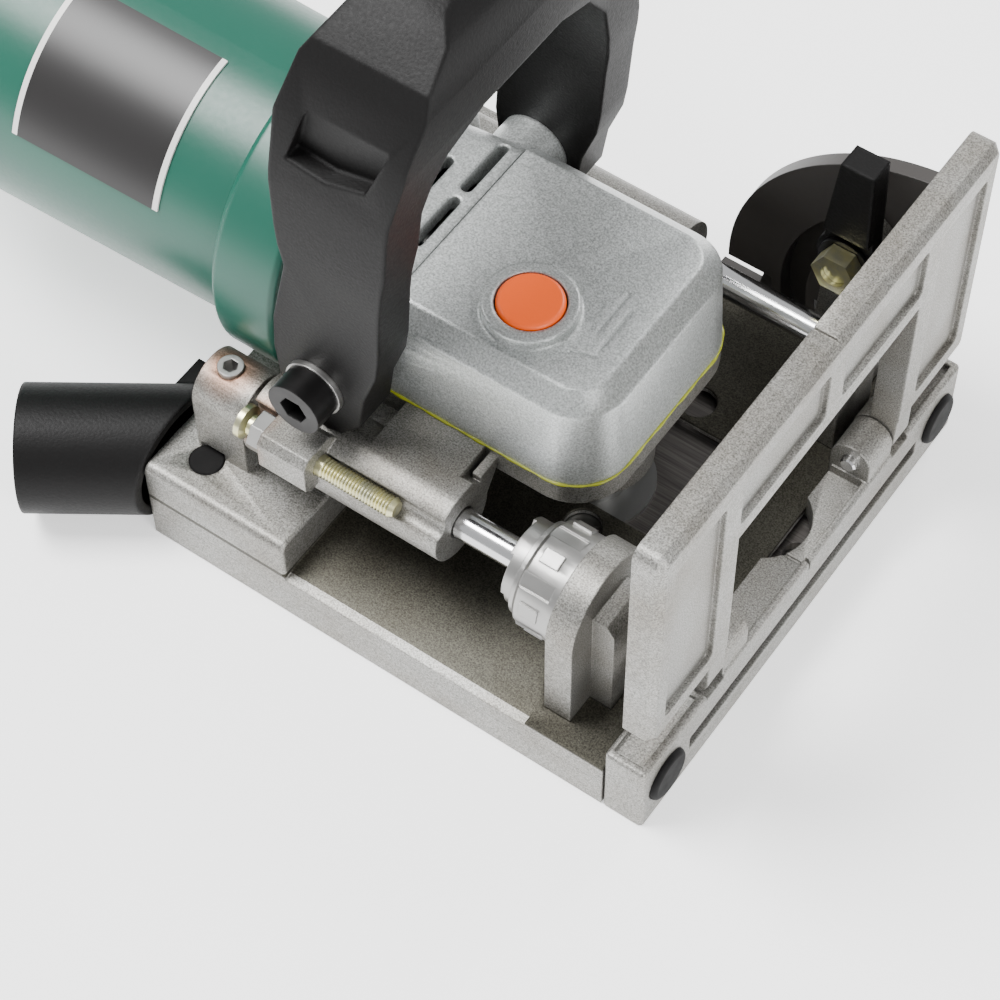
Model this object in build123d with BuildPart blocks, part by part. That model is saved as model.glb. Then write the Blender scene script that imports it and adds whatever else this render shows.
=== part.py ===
"""Biscuit joiner: a slotting tool whose motor carriage slides on two rods over a flat base.

Frame: +X is the plunge direction, +Y is the left side of the tool, +Z is up.
The origin is the centre of the sole, the flat underside of the base. Sizes are millimetres.
"""
from build123d import *
import math
import os

os.makedirs("parts", exist_ok=True)

# ---- base -------------------------------------------------------------
base_back = -66.8        # rear face of the base
base_front = 56.4        # where the casting meets the front plate
face_x = 66.8            # working face of the front plate
half_width = 65.5        # half the width of the base
cover_top = 8.7          # split between the bottom cover and the casting
deck_z = 14.5            # top of the low deck
block_z = 25.5           # top of the raised rear block
block_front = -28.3      # front wall of the raised rear block
plate_back = 56.6
plate_top = 21.8
chamber_floor = 3.2
chamber_roof = 12.7

# ---- motor unit and its travel -----------------------------------------
machine_y = -2.5         # the motor, spindle and rods stand about this line
rod_half_gap = 43.3
rod_z = 42.0
rod_r = 3.5
near_y = machine_y - rod_half_gap
far_y = machine_y + rod_half_gap
travel = 15.0            # plunge of the carriage
spindle_x = 12.0
blade_z = 10.0
blade_r = 52.5
motor_z = 62.0

# ---- carriage and gear case --------------------------------------------
boss_r = 9.5
boss_back = -45.0
boss_front = 6.3
table_z = 51.5           # flat top of the carriage
flange_z = 45.3          # underside of the flange below the gear case
gasket_t = 0.5
case_z = table_z + gasket_t
case_top = 78.5
case_front = 30.5
case_half = 29.5
case_back = -46.8

# ---- fence ---------------------------------------------------------------
hinge_x = 61.3
hinge_z = 26.0
fence_back = 59.8
fence_bottom = 31.8
fence_top = 100.5
fence_half = 64.0
notch_half = 35.0
notch_top = 75.0
clamp_x = 41.5           # clamp bolt of the fence
clamp_z = 57.6
slot_r = math.hypot(clamp_x - hinge_x, clamp_z - hinge_z)
clamp_angle = math.degrees(math.atan2(clamp_z - hinge_z, clamp_x - hinge_x))
quadrant_y = 61.0
quadrant_t = 4.0
quadrant_r = 55.0

# ---- depth turret ----------------------------------------------------------
post_back = 37.5
post_front = 44.2
post_r = 14.0
turret_front = 37.2
turret_rim_back = 27.4
turret_back = 21.6
turret_r = 12.6
crown_r = 9.6
step_rise = 0.8          # from one depth step to the next

# ---- motor ------------------------------------------------------------------
collar_back = -64.0
collar_front = -46.8
collar_r = 38.0
body_r = 33.8
body_back = -158.0
grip_back = -228.0
handle_bolt_x = -28.8    # bolts that hold the bow handle
handle_bolt_z = 66.4
button_floor = 75.1      # floor of the recess below the lock button
button_z = 78.5          # underside of the lock button
button_x = 2.0
button_y = -13.9
pin_x = 3.4              # lock pin below the button
pin_y = -12.1
case_screw_at = [(-20.0, -27.0), (-20.0, 22.0), (23.5, -24.0), (23.5, 19.0)]


def finish(part, name):
    """Label one finished piece and write it."""
    part.label = name
    export_step(part, f"parts/{name}.step")


def yz(x):
    """Plane across the tool at x: local x is +Y, local y is +Z, extruding along +X."""
    return Plane(origin=(x, 0, 0), x_dir=(0, 1, 0), z_dir=(1, 0, 0))


def xz(y):
    """Plane along the tool at y: local x is +X, local y is +Z, extruding along -Y."""
    return Plane(origin=(0, y, 0), x_dir=(1, 0, 0), z_dir=(0, -1, 0))


def turned(x0, x1, radius, mode=Mode.ADD):
    """Round piece on the motor axis between two stations along X."""
    with Locations((x0, machine_y, motor_z)):
        Cylinder(
            radius, x1 - x0, rotation=(0, 90, 0), align=(Align.CENTER, Align.CENTER, Align.MIN), mode=mode
        )


def upright(z0, z1, radius, mode=Mode.ADD, at=(0, 0)):
    """Round piece standing between two heights, on the spindle axis unless moved."""
    with Locations((spindle_x + at[0], machine_y + at[1], z0)):
        Cylinder(radius, z1 - z0, align=(Align.CENTER, Align.CENTER, Align.MIN), mode=mode)


def box_sketch(x0, x1, y0, y1, mode=Mode.ADD):
    """Rectangle between two corners, on the sketch in hand."""
    with Locations(((x0 + x1) / 2, (y0 + y1) / 2)):
        Rectangle(x1 - x0, y1 - y0, mode=mode)


def chamber_outline(radius):
    """The room that the blade sweeps as the carriage travels."""
    with Locations((spindle_x, machine_y), (spindle_x + travel, machine_y)):
        Circle(radius)
    box_sketch(spindle_x, spindle_x + travel, machine_y - radius, machine_y + radius)


# =============================== base casting ===============================
with BuildPart() as base_casting:
    with BuildSketch(Plane.XY.offset(cover_top)):
        box_sketch(base_back, base_front, -half_width, half_width)
    extrude(amount=deck_z - cover_top)
    with BuildSketch(Plane.XY.offset(cover_top)):
        box_sketch(base_back, block_front, -half_width, half_width)
    extrude(amount=block_z - cover_top)
    long_edges = base_casting.edges().filter_by(Axis.X).group_by(Axis.Z)[-1]
    fillet(long_edges, radius=2.2)
    fillet(base_casting.edges().filter_by(Axis.Y).group_by(Axis.Z)[-1].sort_by(Axis.X)[-1], radius=1.0)
    # sloped band along both edges of the deck
    for side in (-1, 1):
        with BuildSketch(yz(block_front)):
            with BuildLine():
                Polyline(
                    (side * 61.6, deck_z), (side * 66.5, deck_z), (side * 66.5, deck_z - 1.7), close=True
                )
            make_face()
        extrude(amount=post_back - 1.2 - block_front, mode=Mode.SUBTRACT)
    # trough that the motor collar passes through
    with BuildSketch(yz(base_back - 1)):
        with Locations((machine_y, motor_z)):
            Circle(collar_r + 1.5)
    extrude(amount=block_front - base_back + 2, mode=Mode.SUBTRACT)
    # rear posts, round on top, that grip the rods
    for rod_y in (near_y, far_y):
        with BuildSketch(yz(-60.5)):
            with Locations((rod_y, rod_z)):
                Circle(7.8)
            box_sketch(rod_y - 7.8, rod_y + 7.8, block_z - 6, rod_z)
        extrude(amount=13.7)
    # near front post with its rib
    with BuildSketch(yz(post_back)):
        with Locations((near_y, rod_z)):
            Circle(post_r)
        box_sketch(near_y - post_r, near_y + post_r, deck_z - 1.5, rod_z)
    extrude(amount=post_front - post_back)
    with BuildSketch(xz(near_y + 6.5)):
        with BuildLine():
            Polyline(
                (post_front - 1, deck_z - 1), (post_front + 5.5, deck_z - 1), (post_front + 5.5, 43.5),
                (post_front + 3.5, 46.5), (post_front - 1, 46.5), close=True,
            )
        make_face()
    extrude(amount=13.0)
    # far front post, low and narrow, behind the fence
    with BuildSketch(yz(46.0)):
        with Locations((far_y, rod_z)):
            Circle(8.0)
        box_sketch(far_y - 8, far_y + 8, deck_z - 1, rod_z)
    extrude(amount=7.0)
    # clamp post that carries the fence bolt
    with BuildSketch(xz(60.6)):
        with Locations((clamp_x, clamp_z)):
            Circle(6.2)
        with BuildLine():
            Polyline(
                (clamp_x - 6.2, clamp_z), (clamp_x + 6.2, clamp_z), (clamp_x + 9.0, deck_z - 1),
                (clamp_x - 9.0, deck_z - 1), close=True,
            )
        make_face()
    extrude(amount=6.0)
    # room for the blade below the deck, open at the front
    with BuildSketch(Plane.XY.offset(cover_top - 1)):
        chamber_outline(blade_r + 2.5)
        box_sketch(30, base_front + 1, -48.5, 48.5)
    extrude(amount=chamber_roof - cover_top + 1, mode=Mode.SUBTRACT)
    # window in the deck for the spindle, and two round holes
    with BuildSketch(Plane.XY.offset(chamber_roof - 1)):
        box_sketch(-4.0, 48.0, machine_y - 8.0, 21.0)
        with Locations((18.0, -16.5), (20.5, 27.0)):
            Circle(4.5)
    extrude(amount=deck_z - chamber_roof + 3, mode=Mode.SUBTRACT)
    # relief beside the far edge for the fence quadrant
    with BuildSketch(Plane.XY.offset(-1)):
        box_sketch(13.0, base_front + 1, quadrant_y - 0.4, half_width + 1)
    extrude(amount=30, mode=Mode.SUBTRACT)
    # relief in the rear face of the post, behind the turret ring
    with BuildSketch(yz(post_back - 1)):
        with Locations((near_y, rod_z)):
            Circle(turret_r + 1.2)
    extrude(amount=1.8, mode=Mode.SUBTRACT)
    # bores for the rods, the set screws and the detent
    for rod_y, length in ((near_y, 103.5), (far_y, 112.0)):
        with BuildSketch(yz(-58.0)):
            with Locations((rod_y, rod_z)):
                Circle(rod_r)
        extrude(amount=length, mode=Mode.SUBTRACT)
        with BuildSketch(Plane.XY.offset(rod_z + rod_r - 0.5)):
            with Locations((-55.0, rod_y)):
                Circle(3.0)
        extrude(amount=12, mode=Mode.SUBTRACT)
    with BuildSketch(yz(post_back - 1)):
        with Locations((near_y, rod_z - 9.0)):
            Circle(1.6)
    extrude(amount=6.6, mode=Mode.SUBTRACT)
    # blind bores for the rubber plugs on the raised block
    with BuildSketch(Plane.XY.offset(block_z - 4)):
        with Locations((-56.4, -56.0), (-56.4, 56.0)):
            Circle(4.1)
    extrude(amount=6, mode=Mode.SUBTRACT)
    # duct that takes the chips back to the dust port
    with BuildSketch(Plane.XY.offset(cover_top - 1)):
        box_sketch(base_back - 1, block_front - 2, -54.0, -37.0)
    extrude(amount=20.5 - cover_top + 1, mode=Mode.SUBTRACT)
    with BuildSketch(Plane.XY.offset(cover_top - 1)):
        box_sketch(block_front - 3, -18.0, -54.0, -37.0)
    extrude(amount=chamber_roof - cover_top + 1, mode=Mode.SUBTRACT)
    # clamp bolt bore, plate screw bores, cover screw bores
    with BuildSketch(xz(61.5)):
        with Locations((clamp_x, clamp_z)):
            Circle(3.0)
    extrude(amount=8, mode=Mode.SUBTRACT)
    with BuildSketch(yz(base_front + 1)):
        with Locations((-56.6, 10.8), (56.6, 10.8)):
            Circle(2.1)
    extrude(amount=-13, mode=Mode.SUBTRACT)
    with BuildSketch(Plane.XY.offset(cover_top - 1)):
        with Locations((-60, -59), (-60, 59), (-5, -61), (48, -61.5), (3, 59.5)):
            Circle(1.7)
    extrude(amount=5.5, mode=Mode.SUBTRACT)
    with BuildSketch(xz(half_width + 1)):
        with Locations((7.0, 7.5)):
            Circle(1.6)
    extrude(amount=9.0, mode=Mode.SUBTRACT)
finish(base_casting.part, "base_casting")

# =============================== base cover ===============================
with BuildPart() as base_cover:
    with BuildSketch(Plane.XY):
        box_sketch(base_back, base_front, -half_width, half_width)
    extrude(amount=cover_top)
    with BuildSketch(Plane.XY.offset(chamber_floor)):
        chamber_outline(blade_r + 2.5)
        box_sketch(30, base_front + 1, -48.5, 48.5)
    extrude(amount=cover_top, mode=Mode.SUBTRACT)
    with BuildSketch(Plane.XY.offset(-1)):
        box_sketch(13.0, base_front + 1, quadrant_y - 0.4, half_width + 1)
    extrude(amount=30, mode=Mode.SUBTRACT)
    with BuildSketch(xz(half_width + 1)):
        with Locations((7.0, 7.5)):
            Circle(1.6)
    extrude(amount=9.0, mode=Mode.SUBTRACT)
    with BuildSketch(Plane.XY.offset(chamber_floor)):
        box_sketch(base_back - 1, -18.0, -54.0, -37.0)
    extrude(amount=cover_top, mode=Mode.SUBTRACT)
    with Locations((-60, -59, 0), (-60, 59, 0), (-5, -61, 0), (48, -61.5, 0), (3, 59.5, 0)):
        Cylinder(2.1, 30, mode=Mode.SUBTRACT)
        Cylinder(3.8, 5.0, mode=Mode.SUBTRACT)
finish(base_cover.part, "base_cover")

with BuildPart() as cover_screws:
    with Locations((-60, -59, 0), (-60, 59, 0), (-5, -61, 0), (48, -61.5, 0), (3, 59.5, 0)):
        Cylinder(3.6, 2.0, align=(Align.CENTER, Align.CENTER, Align.MIN))
        Cylinder(1.7, 12.0, align=(Align.CENTER, Align.CENTER, Align.MIN))
        Cylinder(1.2, 1.0, align=(Align.CENTER, Align.CENTER, Align.MIN), mode=Mode.SUBTRACT)
cover_screws.part.move(Location((0, 0, 0.5)))
finish(cover_screws.part, "cover_screws")

# =============================== front plate ===============================
with BuildPart() as front_plate:
    with BuildSketch(Plane.XY):
        box_sketch(plate_back, face_x, -half_width, half_width)
    extrude(amount=plate_top)
    fillet(front_plate.edges().filter_by(Axis.Z), radius=1.2)
    fillet(front_plate.faces().sort_by(Axis.Z)[-1].edges(), radius=1.0)
    # two knuckles that hold the hinge pins
    for side in (-1, 1):
        y_in = side * 25.0
        y_out = side * 34.7
        with BuildSketch(xz(max(y_in, y_out))):
            with Locations((hinge_x, hinge_z)):
                Circle(5.0)
            box_sketch(hinge_x - 5, hinge_x + 5, plate_top - 3, hinge_z)
        extrude(amount=abs(y_out - y_in))
        # recess below the fence knuckles
        with BuildSketch(Plane.XY.offset(20.2)):
            box_sketch(plate_back - 1, face_x + 1, min(side * 34.7, side * 41.6), max(side * 34.7, side * 41.6))
        extrude(amount=5, mode=Mode.SUBTRACT)
        # shallow tray at each outer end
        with BuildSketch(Plane.XY.offset(plate_top - 1.2)):
            box_sketch(plate_back + 1.2, face_x - 1.8, min(side * 43, side * 63.5), max(side * 43, side * 63.5))
        extrude(amount=3, mode=Mode.SUBTRACT)
    # lower middle with a scalloped rear edge and a centre mark
    with BuildSketch(Plane.XY.offset(19.2)):
        box_sketch(plate_back - 1, face_x - 1.6, -24.6, 24.6)
    extrude(amount=5, mode=Mode.SUBTRACT)
    with BuildSketch(Plane.XY.offset(12.4)):
        with Locations((50.5, 6.0)):
            Circle(11.5)
    extrude(amount=10, mode=Mode.SUBTRACT)
    with BuildSketch(Plane.XY.offset(18.6)):
        box_sketch(plate_back + 1, face_x + 1, -0.4, 0.4)
    extrude(amount=5, mode=Mode.SUBTRACT)
    # slot for the blade
    with BuildSketch(yz(plate_back - 1)):
        box_sketch(-47.3, 47.3, 7.7, 12.4)
    extrude(amount=20, mode=Mode.SUBTRACT)
    with BuildSketch(yz(face_x - 7.4)):
        with Locations((-56.6, 10.8), (56.6, 10.8)):
            Circle(6.35)
    extrude(amount=10, mode=Mode.SUBTRACT)
    with BuildSketch(yz(plate_back - 1)):
        with Locations((-56.6, 10.8), (56.6, 10.8)):
            Circle(2.3)
    extrude(amount=8, mode=Mode.SUBTRACT)
    with BuildSketch(xz(36)):
        with Locations((hinge_x, hinge_z)):
            Circle(2.0)
    extrude(amount=72, mode=Mode.SUBTRACT)
finish(front_plate.part, "front_plate")

with BuildPart() as plate_screws:
    for screw_y in (-56.6, 56.6):
        with BuildSketch(yz(face_x - 7.4)):
            with Locations((screw_y, 10.8)):
                Circle(4.0)
                RegularPolygon(2.0, 6, mode=Mode.SUBTRACT)
        extrude(amount=3.0)
        with BuildSketch(yz(45.0)):
            with Locations((screw_y, 10.8)):
                Circle(2.0)
        extrude(amount=face_x - 7.4 - 45.0 + 0.5)
finish(plate_screws.part, "plate_screws")

with BuildPart() as grip_pads:
    for pad_y in (-56.6, 56.6):
        with BuildSketch(yz(face_x - 4.2)):
            with Locations((pad_y, 10.8)):
                Circle(6.35)
        extrude(amount=5.6)
    fillet(grip_pads.edges().filter_by(GeomType.CIRCLE).group_by(Axis.X)[-1], radius=1.2)
finish(grip_pads.part, "grip_pads")

with BuildPart() as base_plugs:
    for plug_y in (-56.0, 56.0):
        with BuildSketch(Plane.XY.offset(block_z - 4)):
            with Locations((-56.4, plug_y)):
                Circle(4.1)
        extrude(amount=4.3)
    chamfer(base_plugs.edges().filter_by(GeomType.CIRCLE).group_by(Axis.Z)[-1], length=0.4)
finish(base_plugs.part, "base_plugs")

# =============================== rods and their screws ===============================
with BuildPart() as guide_rods:
    for rod_y, length in ((near_y, 103.0), (far_y, 111.5)):
        with BuildSketch(yz(-57.9)):
            with Locations((rod_y, rod_z)):
                Circle(rod_r)
        extrude(amount=length)
    chamfer(guide_rods.edges().filter_by(GeomType.CIRCLE), length=0.6)
finish(guide_rods.part, "guide_rods")

with BuildPart() as rod_set_screws:
    for rod_y in (near_y, far_y):
        with BuildSketch(Plane.XY.offset(rod_z + rod_r + 0.05)):
            with Locations((-55.0, rod_y)):
                Circle(2.95)
        extrude(amount=5.0)
        with BuildSketch(Plane.XY.offset(rod_z + rod_r + 1.4)):
            with Locations((-55.0, rod_y)):
                RegularPolygon(1.8, 6)
        extrude(amount=4, mode=Mode.SUBTRACT)
finish(rod_set_screws.part, "rod_set_screws")

# =============================== depth turret ===============================
with BuildPart() as depth_turret:
    with BuildSketch(yz(turret_rim_back)):
        with Locations((near_y, rod_z)):
            Circle(turret_r)
    extrude(amount=turret_front - turret_rim_back)
    chamfer(depth_turret.edges().filter_by(GeomType.CIRCLE).group_by(Axis.X)[0], length=1.0)
    # finger grooves round the rim
    with BuildSketch(yz(turret_rim_back - 1)):
        with Locations((near_y, rod_z)):
            with PolarLocations(turret_r + 0.3, 6, start_angle=15):
                Rectangle(1.8, 3.6)
    extrude(amount=turret_front - turret_rim_back - 0.6, mode=Mode.SUBTRACT)
    # six raised marks between the grooves
    with BuildSketch(yz(turret_rim_back + 2.2)):
        with Locations((near_y, rod_z)):
            with PolarLocations(turret_r, 6, start_angle=45):
                Rectangle(0.8, 3.4)
    extrude(amount=4.6)
    # neck, then the crown whose six steps are the depth stops
    with BuildSketch(yz(turret_rim_back - 1.3)):
        with Locations((near_y, rod_z)):
            Circle(turret_r - 1.6)
    extrude(amount=1.4)
    for step in range(6):
        with BuildSketch(yz(turret_back + step_rise * step)):
            with BuildLine():
                start = 60 * step
                CenterArc((near_y, rod_z), crown_r, start, 60)
                Line(
                    (near_y, rod_z),
                    (near_y + crown_r * math.cos(math.radians(start)), rod_z + crown_r * math.sin(math.radians(start))),
                )
                Line(
                    (near_y, rod_z),
                    (
                        near_y + crown_r * math.cos(math.radians(start + 60)),
                        rod_z + crown_r * math.sin(math.radians(start + 60)),
                    ),
                )
            make_face()
        extrude(amount=turret_rim_back - turret_back - step_rise * step - 0.5)
    with BuildSketch(yz(turret_back - 1)):
        with Locations((near_y, rod_z)):
            Circle(rod_r + 0.06)
    extrude(amount=turret_front - turret_back + 2, mode=Mode.SUBTRACT)
    # dimples for the detent ball
    with BuildSketch(yz(turret_front - 0.7)):
        with Locations((near_y, rod_z)):
            with PolarLocations(9.0, 6, start_angle=30):
                Circle(1.5)
    extrude(amount=2, mode=Mode.SUBTRACT)
finish(depth_turret.part, "depth_turret")

with BuildPart() as detent_ball:
    with Locations((post_back + 1.6, near_y, rod_z - 9.0)):
        Sphere(1.45)
finish(detent_ball.part, "detent_ball")

with BuildPart() as detent_spring:
    with BuildSketch(yz(post_back + 3.1)):
        with Locations((near_y, rod_z - 9.0)):
            Circle(1.3)
            Circle(0.8, mode=Mode.SUBTRACT)
    extrude(amount=2.2)
finish(detent_spring.part, "detent_spring")

# =============================== fence ===============================
with BuildPart() as fence:
    with BuildSketch(yz(fence_back)) as fence_outline:
        box_sketch(-fence_half, fence_half, fence_bottom, fence_top)
        fillet(fence_outline.vertices(), radius=3.0)
        box_sketch(-notch_half, notch_half, fence_bottom - 1, notch_top, mode=Mode.SUBTRACT)
    extrude(amount=face_x - fence_back)
    chamfer(fence.edges().filter_by(Axis.Y).group_by(Axis.Z)[-1].sort_by(Axis.X)[-1], length=1.8)
    # knuckles that turn on the hinge pins
    for side in (-1, 1):
        y0 = min(side * 35.0, side * 41.3)
        y1 = max(side * 35.0, side * 41.3)
        with BuildSketch(xz(y1)):
            with Locations((hinge_x, hinge_z)):
                Circle(5.2)
            box_sketch(fence_back, hinge_x + 5.2, hinge_z, fence_bottom + 3)
        extrude(amount=y1 - y0)
    # shallow panels in the face
    with BuildSketch(yz(face_x - 1.4)):
        for y0, y1, z0, z1 in (
            (-59.0, -41.0, 38.0, 93.0), (41.0, 59.0, 38.0, 93.0), (-35.0, -3.0, 79.5, 94.0), (3.0, 35.0, 79.5, 94.0)
        ):
            with Locations(((y0 + y1) / 2, (z0 + z1) / 2)):
                RectangleRounded(y1 - y0, z1 - z0, 1.5)
    extrude(amount=3, mode=Mode.SUBTRACT)
    # centre mark across the top edge
    with BuildSketch(Plane.XY.offset(fence_top - 0.8)):
        box_sketch(fence_back - 1, face_x + 1, -0.5, 0.5)
    extrude(amount=3, mode=Mode.SUBTRACT)
    # step in the far end where the quadrant is screwed on
    with BuildSketch(Plane.XY.offset(fence_bottom - 2)):
        box_sketch(fence_back - 1, 64.0, quadrant_y - 0.02, fence_half + 2)
    extrude(amount=56 + hinge_z - fence_bottom + 2, mode=Mode.SUBTRACT)
    with BuildSketch(xz(42)):
        with Locations((hinge_x, hinge_z)):
            Circle(2.05)
    extrude(amount=84, mode=Mode.SUBTRACT)
    with BuildSketch(xz(quadrant_y + 1)):
        with Locations((61.9, 46.0), (61.9, 66.0)):
            Circle(1.0)
    extrude(amount=8, mode=Mode.SUBTRACT)
finish(fence.part, "fence")

with BuildPart() as hinge_pins:
    for side in (-1, 1):
        y1 = max(side * 23.5, side * 41.3)
        with BuildSketch(xz(y1)):
            with Locations((hinge_x, hinge_z)):
                Circle(2.0)
        extrude(amount=17.8)
    chamfer(hinge_pins.edges().filter_by(GeomType.CIRCLE), length=0.4)
finish(hinge_pins.part, "hinge_pins")

# =============================== quadrant and clamp ===============================
with BuildPart() as quadrant:
    with BuildSketch(xz(quadrant_y + quadrant_t)):
        with Locations((hinge_x, hinge_z)):
            Circle(quadrant_r)
        box_sketch(63.9, 130, -60, 100, mode=Mode.SUBTRACT)
        box_sketch(0, 130, -60, hinge_z - 2.5, mode=Mode.SUBTRACT)
        # tail that follows the slot below the hinge line
        with BuildLine():
            end = clamp_angle + 90
            out_r = slot_r + 5.8
            in_r = slot_r - 5.8
            a0 = math.radians(178)
            a1 = math.radians(end)
            CenterArc((hinge_x, hinge_z), out_r, 178, end - 178)
            CenterArc((hinge_x, hinge_z), in_r, 178, end - 178)
            Line(
                (hinge_x + in_r * math.cos(a0), hinge_z + in_r * math.sin(a0)),
                (hinge_x + out_r * math.cos(a0), hinge_z + out_r * math.sin(a0)),
            )
            Line(
                (hinge_x + in_r * math.cos(a1), hinge_z + in_r * math.sin(a1)),
                (hinge_x + out_r * math.cos(a1), hinge_z + out_r * math.sin(a1)),
            )
        make_face()
        with Locations((hinge_x + slot_r * math.cos(a1), hinge_z + slot_r * math.sin(a1))):
            Circle(5.8)
    extrude(amount=quadrant_t)
    # curved slot
    with BuildSketch(xz(quadrant_y + quadrant_t + 1)):
        with BuildLine():
            s0 = math.radians(clamp_angle)
            out_s = slot_r + 3.4
            in_s = slot_r - 3.4
            CenterArc((hinge_x, hinge_z), out_s, clamp_angle, 90)
            CenterArc((hinge_x, hinge_z), in_s, clamp_angle, 90)
            Line(
                (hinge_x + in_s * math.cos(s0), hinge_z + in_s * math.sin(s0)),
                (hinge_x + out_s * math.cos(s0), hinge_z + out_s * math.sin(s0)),
            )
            Line(
                (hinge_x + in_s * math.cos(a1), hinge_z + in_s * math.sin(a1)),
                (hinge_x + out_s * math.cos(a1), hinge_z + out_s * math.sin(a1)),
            )
        make_face()
        with Locations(
            (hinge_x + slot_r * math.cos(a1), hinge_z + slot_r * math.sin(a1)),
            (clamp_x, clamp_z),
        ):
            Circle(3.4)
    extrude(amount=quadrant_t + 2, mode=Mode.SUBTRACT)
    with BuildSketch(xz(quadrant_y + quadrant_t + 1)):
        with Locations((61.9, 46.0), (61.9, 66.0)):
            Circle(1.3)
    extrude(amount=8, mode=Mode.SUBTRACT)
finish(quadrant.part, "quadrant")

with BuildPart() as quadrant_screws:
    for screw_z in (46.0, 66.0):
        with BuildSketch(xz(quadrant_y + quadrant_t + 1.4)):
            with Locations((61.9, screw_z)):
                Circle(2.0)
        extrude(amount=1.4)
        with BuildSketch(xz(quadrant_y + quadrant_t)):
            with Locations((61.9, screw_z)):
                Circle(1.0)
        extrude(amount=9)
finish(quadrant_screws.part, "quadrant_screws")

# steel bracket outside the quadrant, fixed to the base, that the clamp bolt pulls against
with BuildPart() as clamp_bracket:
    with BuildSketch(xz(half_width + 2.0)):
        with BuildLine():
            Polyline(
                (2.0, 2.5), (30.0, 2.5), (49.5, 48.0), (49.5, 62.0), (44.5, 67.0), (34.5, 66.0), (18.0, 40.0),
                (13.0, 13.0), (2.0, 13.0), close=True,
            )
        make_face()
        with Locations((clamp_x, clamp_z)):
            Circle(3.0, mode=Mode.SUBTRACT)
        with Locations((7.0, 7.5)):
            Circle(1.6, mode=Mode.SUBTRACT)
    extrude(amount=2.0)
finish(clamp_bracket.part, "clamp_bracket")

with BuildPart() as bracket_screw:
    with BuildSketch(xz(half_width + 3.8)):
        with Locations((7.0, 7.5)):
            Circle(3.0)
    extrude(amount=1.8)
    with BuildSketch(xz(half_width + 2.5)):
        with Locations((7.0, 7.5)):
            Circle(1.6)
    extrude(amount=9.0)
finish(bracket_screw.part, "bracket_screw")

with BuildPart() as clamp_bolt:
    with BuildSketch(xz(half_width + 6.0)):
        with Locations((clamp_x, clamp_z)):
            RegularPolygon(5.5, 6)
    extrude(amount=4.0)
    with BuildSketch(xz(half_width + 2.5)):
        with Locations((clamp_x, clamp_z)):
            Circle(2.95)
    extrude(amount=half_width + 2.5 - 45.5)
finish(clamp_bolt.part, "clamp_bolt")

with BuildPart() as lock_lever:
    with BuildSketch(xz(54.2)):
        with Locations((clamp_x, clamp_z)):
            Circle(7.6)
    extrude(amount=4.2)
    with BuildSketch(xz(54.2)):
        with BuildLine():
            Polyline(
                (clamp_x - 6.0, clamp_z + 4.5), (clamp_x + 6.0, clamp_z + 4.5), (clamp_x + 5.0, clamp_z + 32),
                (clamp_x - 3.2, clamp_z + 32), close=True,
            )
        make_face()
    extrude(amount=4.2)
    with BuildSketch(xz(54.2)):
        with BuildLine():
            Polyline(
                (clamp_x - 5.4, clamp_z + 9.5), (clamp_x + 5.8, clamp_z + 9.5), (clamp_x + 5.0, clamp_z + 32),
                (clamp_x - 3.2, clamp_z + 32), close=True,
            )
        make_face()
    extrude(amount=6.5)
    with BuildSketch(xz(58)):
        with Locations((clamp_x, clamp_z)):
            Circle(3.02)
    extrude(amount=20, mode=Mode.SUBTRACT)
finish(lock_lever.part, "lock_lever")

with BuildPart() as lever_washer:
    with BuildSketch(xz(49.9)):
        with Locations((clamp_x, clamp_z)):
            Circle(6.4)
            Circle(3.02, mode=Mode.SUBTRACT)
    extrude(amount=1.0)
finish(lever_washer.part, "lever_washer")

with BuildPart() as lever_nut:
    with BuildSketch(xz(48.8)):
        with Locations((clamp_x, clamp_z)):
            RegularPolygon(5.6, 6)
            Circle(3.02, mode=Mode.SUBTRACT)
    extrude(amount=4.4)
finish(lever_nut.part, "lever_nut")

# =============================== dust port ===============================
port_dir = (-math.cos(math.radians(34)), -math.sin(math.radians(34)), 0)
port_root = (-72.5, -55.5, 16.0)
with BuildPart() as dust_port:
    # block against the rear face of the base
    with BuildSketch(yz(base_back)):
        box_sketch(-63.0, -34.0, 2.0, 24.0)
    extrude(amount=-9.5)
    with BuildSketch(Plane(origin=port_root, x_dir=(0, 0, 1), z_dir=port_dir)):
        Circle(15.0)
    extrude(amount=30.0)
    with BuildSketch(Plane(origin=port_root, x_dir=(0, 0, 1), z_dir=port_dir)):
        Circle(15.0)
    extrude(amount=-9.0)
    split(bisect_by=Plane(origin=(base_back - 0.3, 0, 0), z_dir=(-1, 0, 0)), keep=Keep.TOP)
    with BuildSketch(Plane(origin=port_root, x_dir=(0, 0, 1), z_dir=port_dir)):
        Circle(12.8)
    extrude(amount=31.0, mode=Mode.SUBTRACT)
    with BuildSketch(Plane(origin=port_root, x_dir=(0, 0, 1), z_dir=port_dir)):
        Circle(12.8)
    extrude(amount=-12.0, mode=Mode.SUBTRACT)
    with BuildSketch(Plane.XY.offset(4.0)):
        box_sketch(base_back - 7, base_back + 1, -54.0, -38.0)
    extrude(amount=16.5, mode=Mode.SUBTRACT)
    split(bisect_by=Plane(origin=(0, 0, 0.4), z_dir=(0, 0, 1)), keep=Keep.TOP)
finish(dust_port.part, "dust_port")

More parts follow.
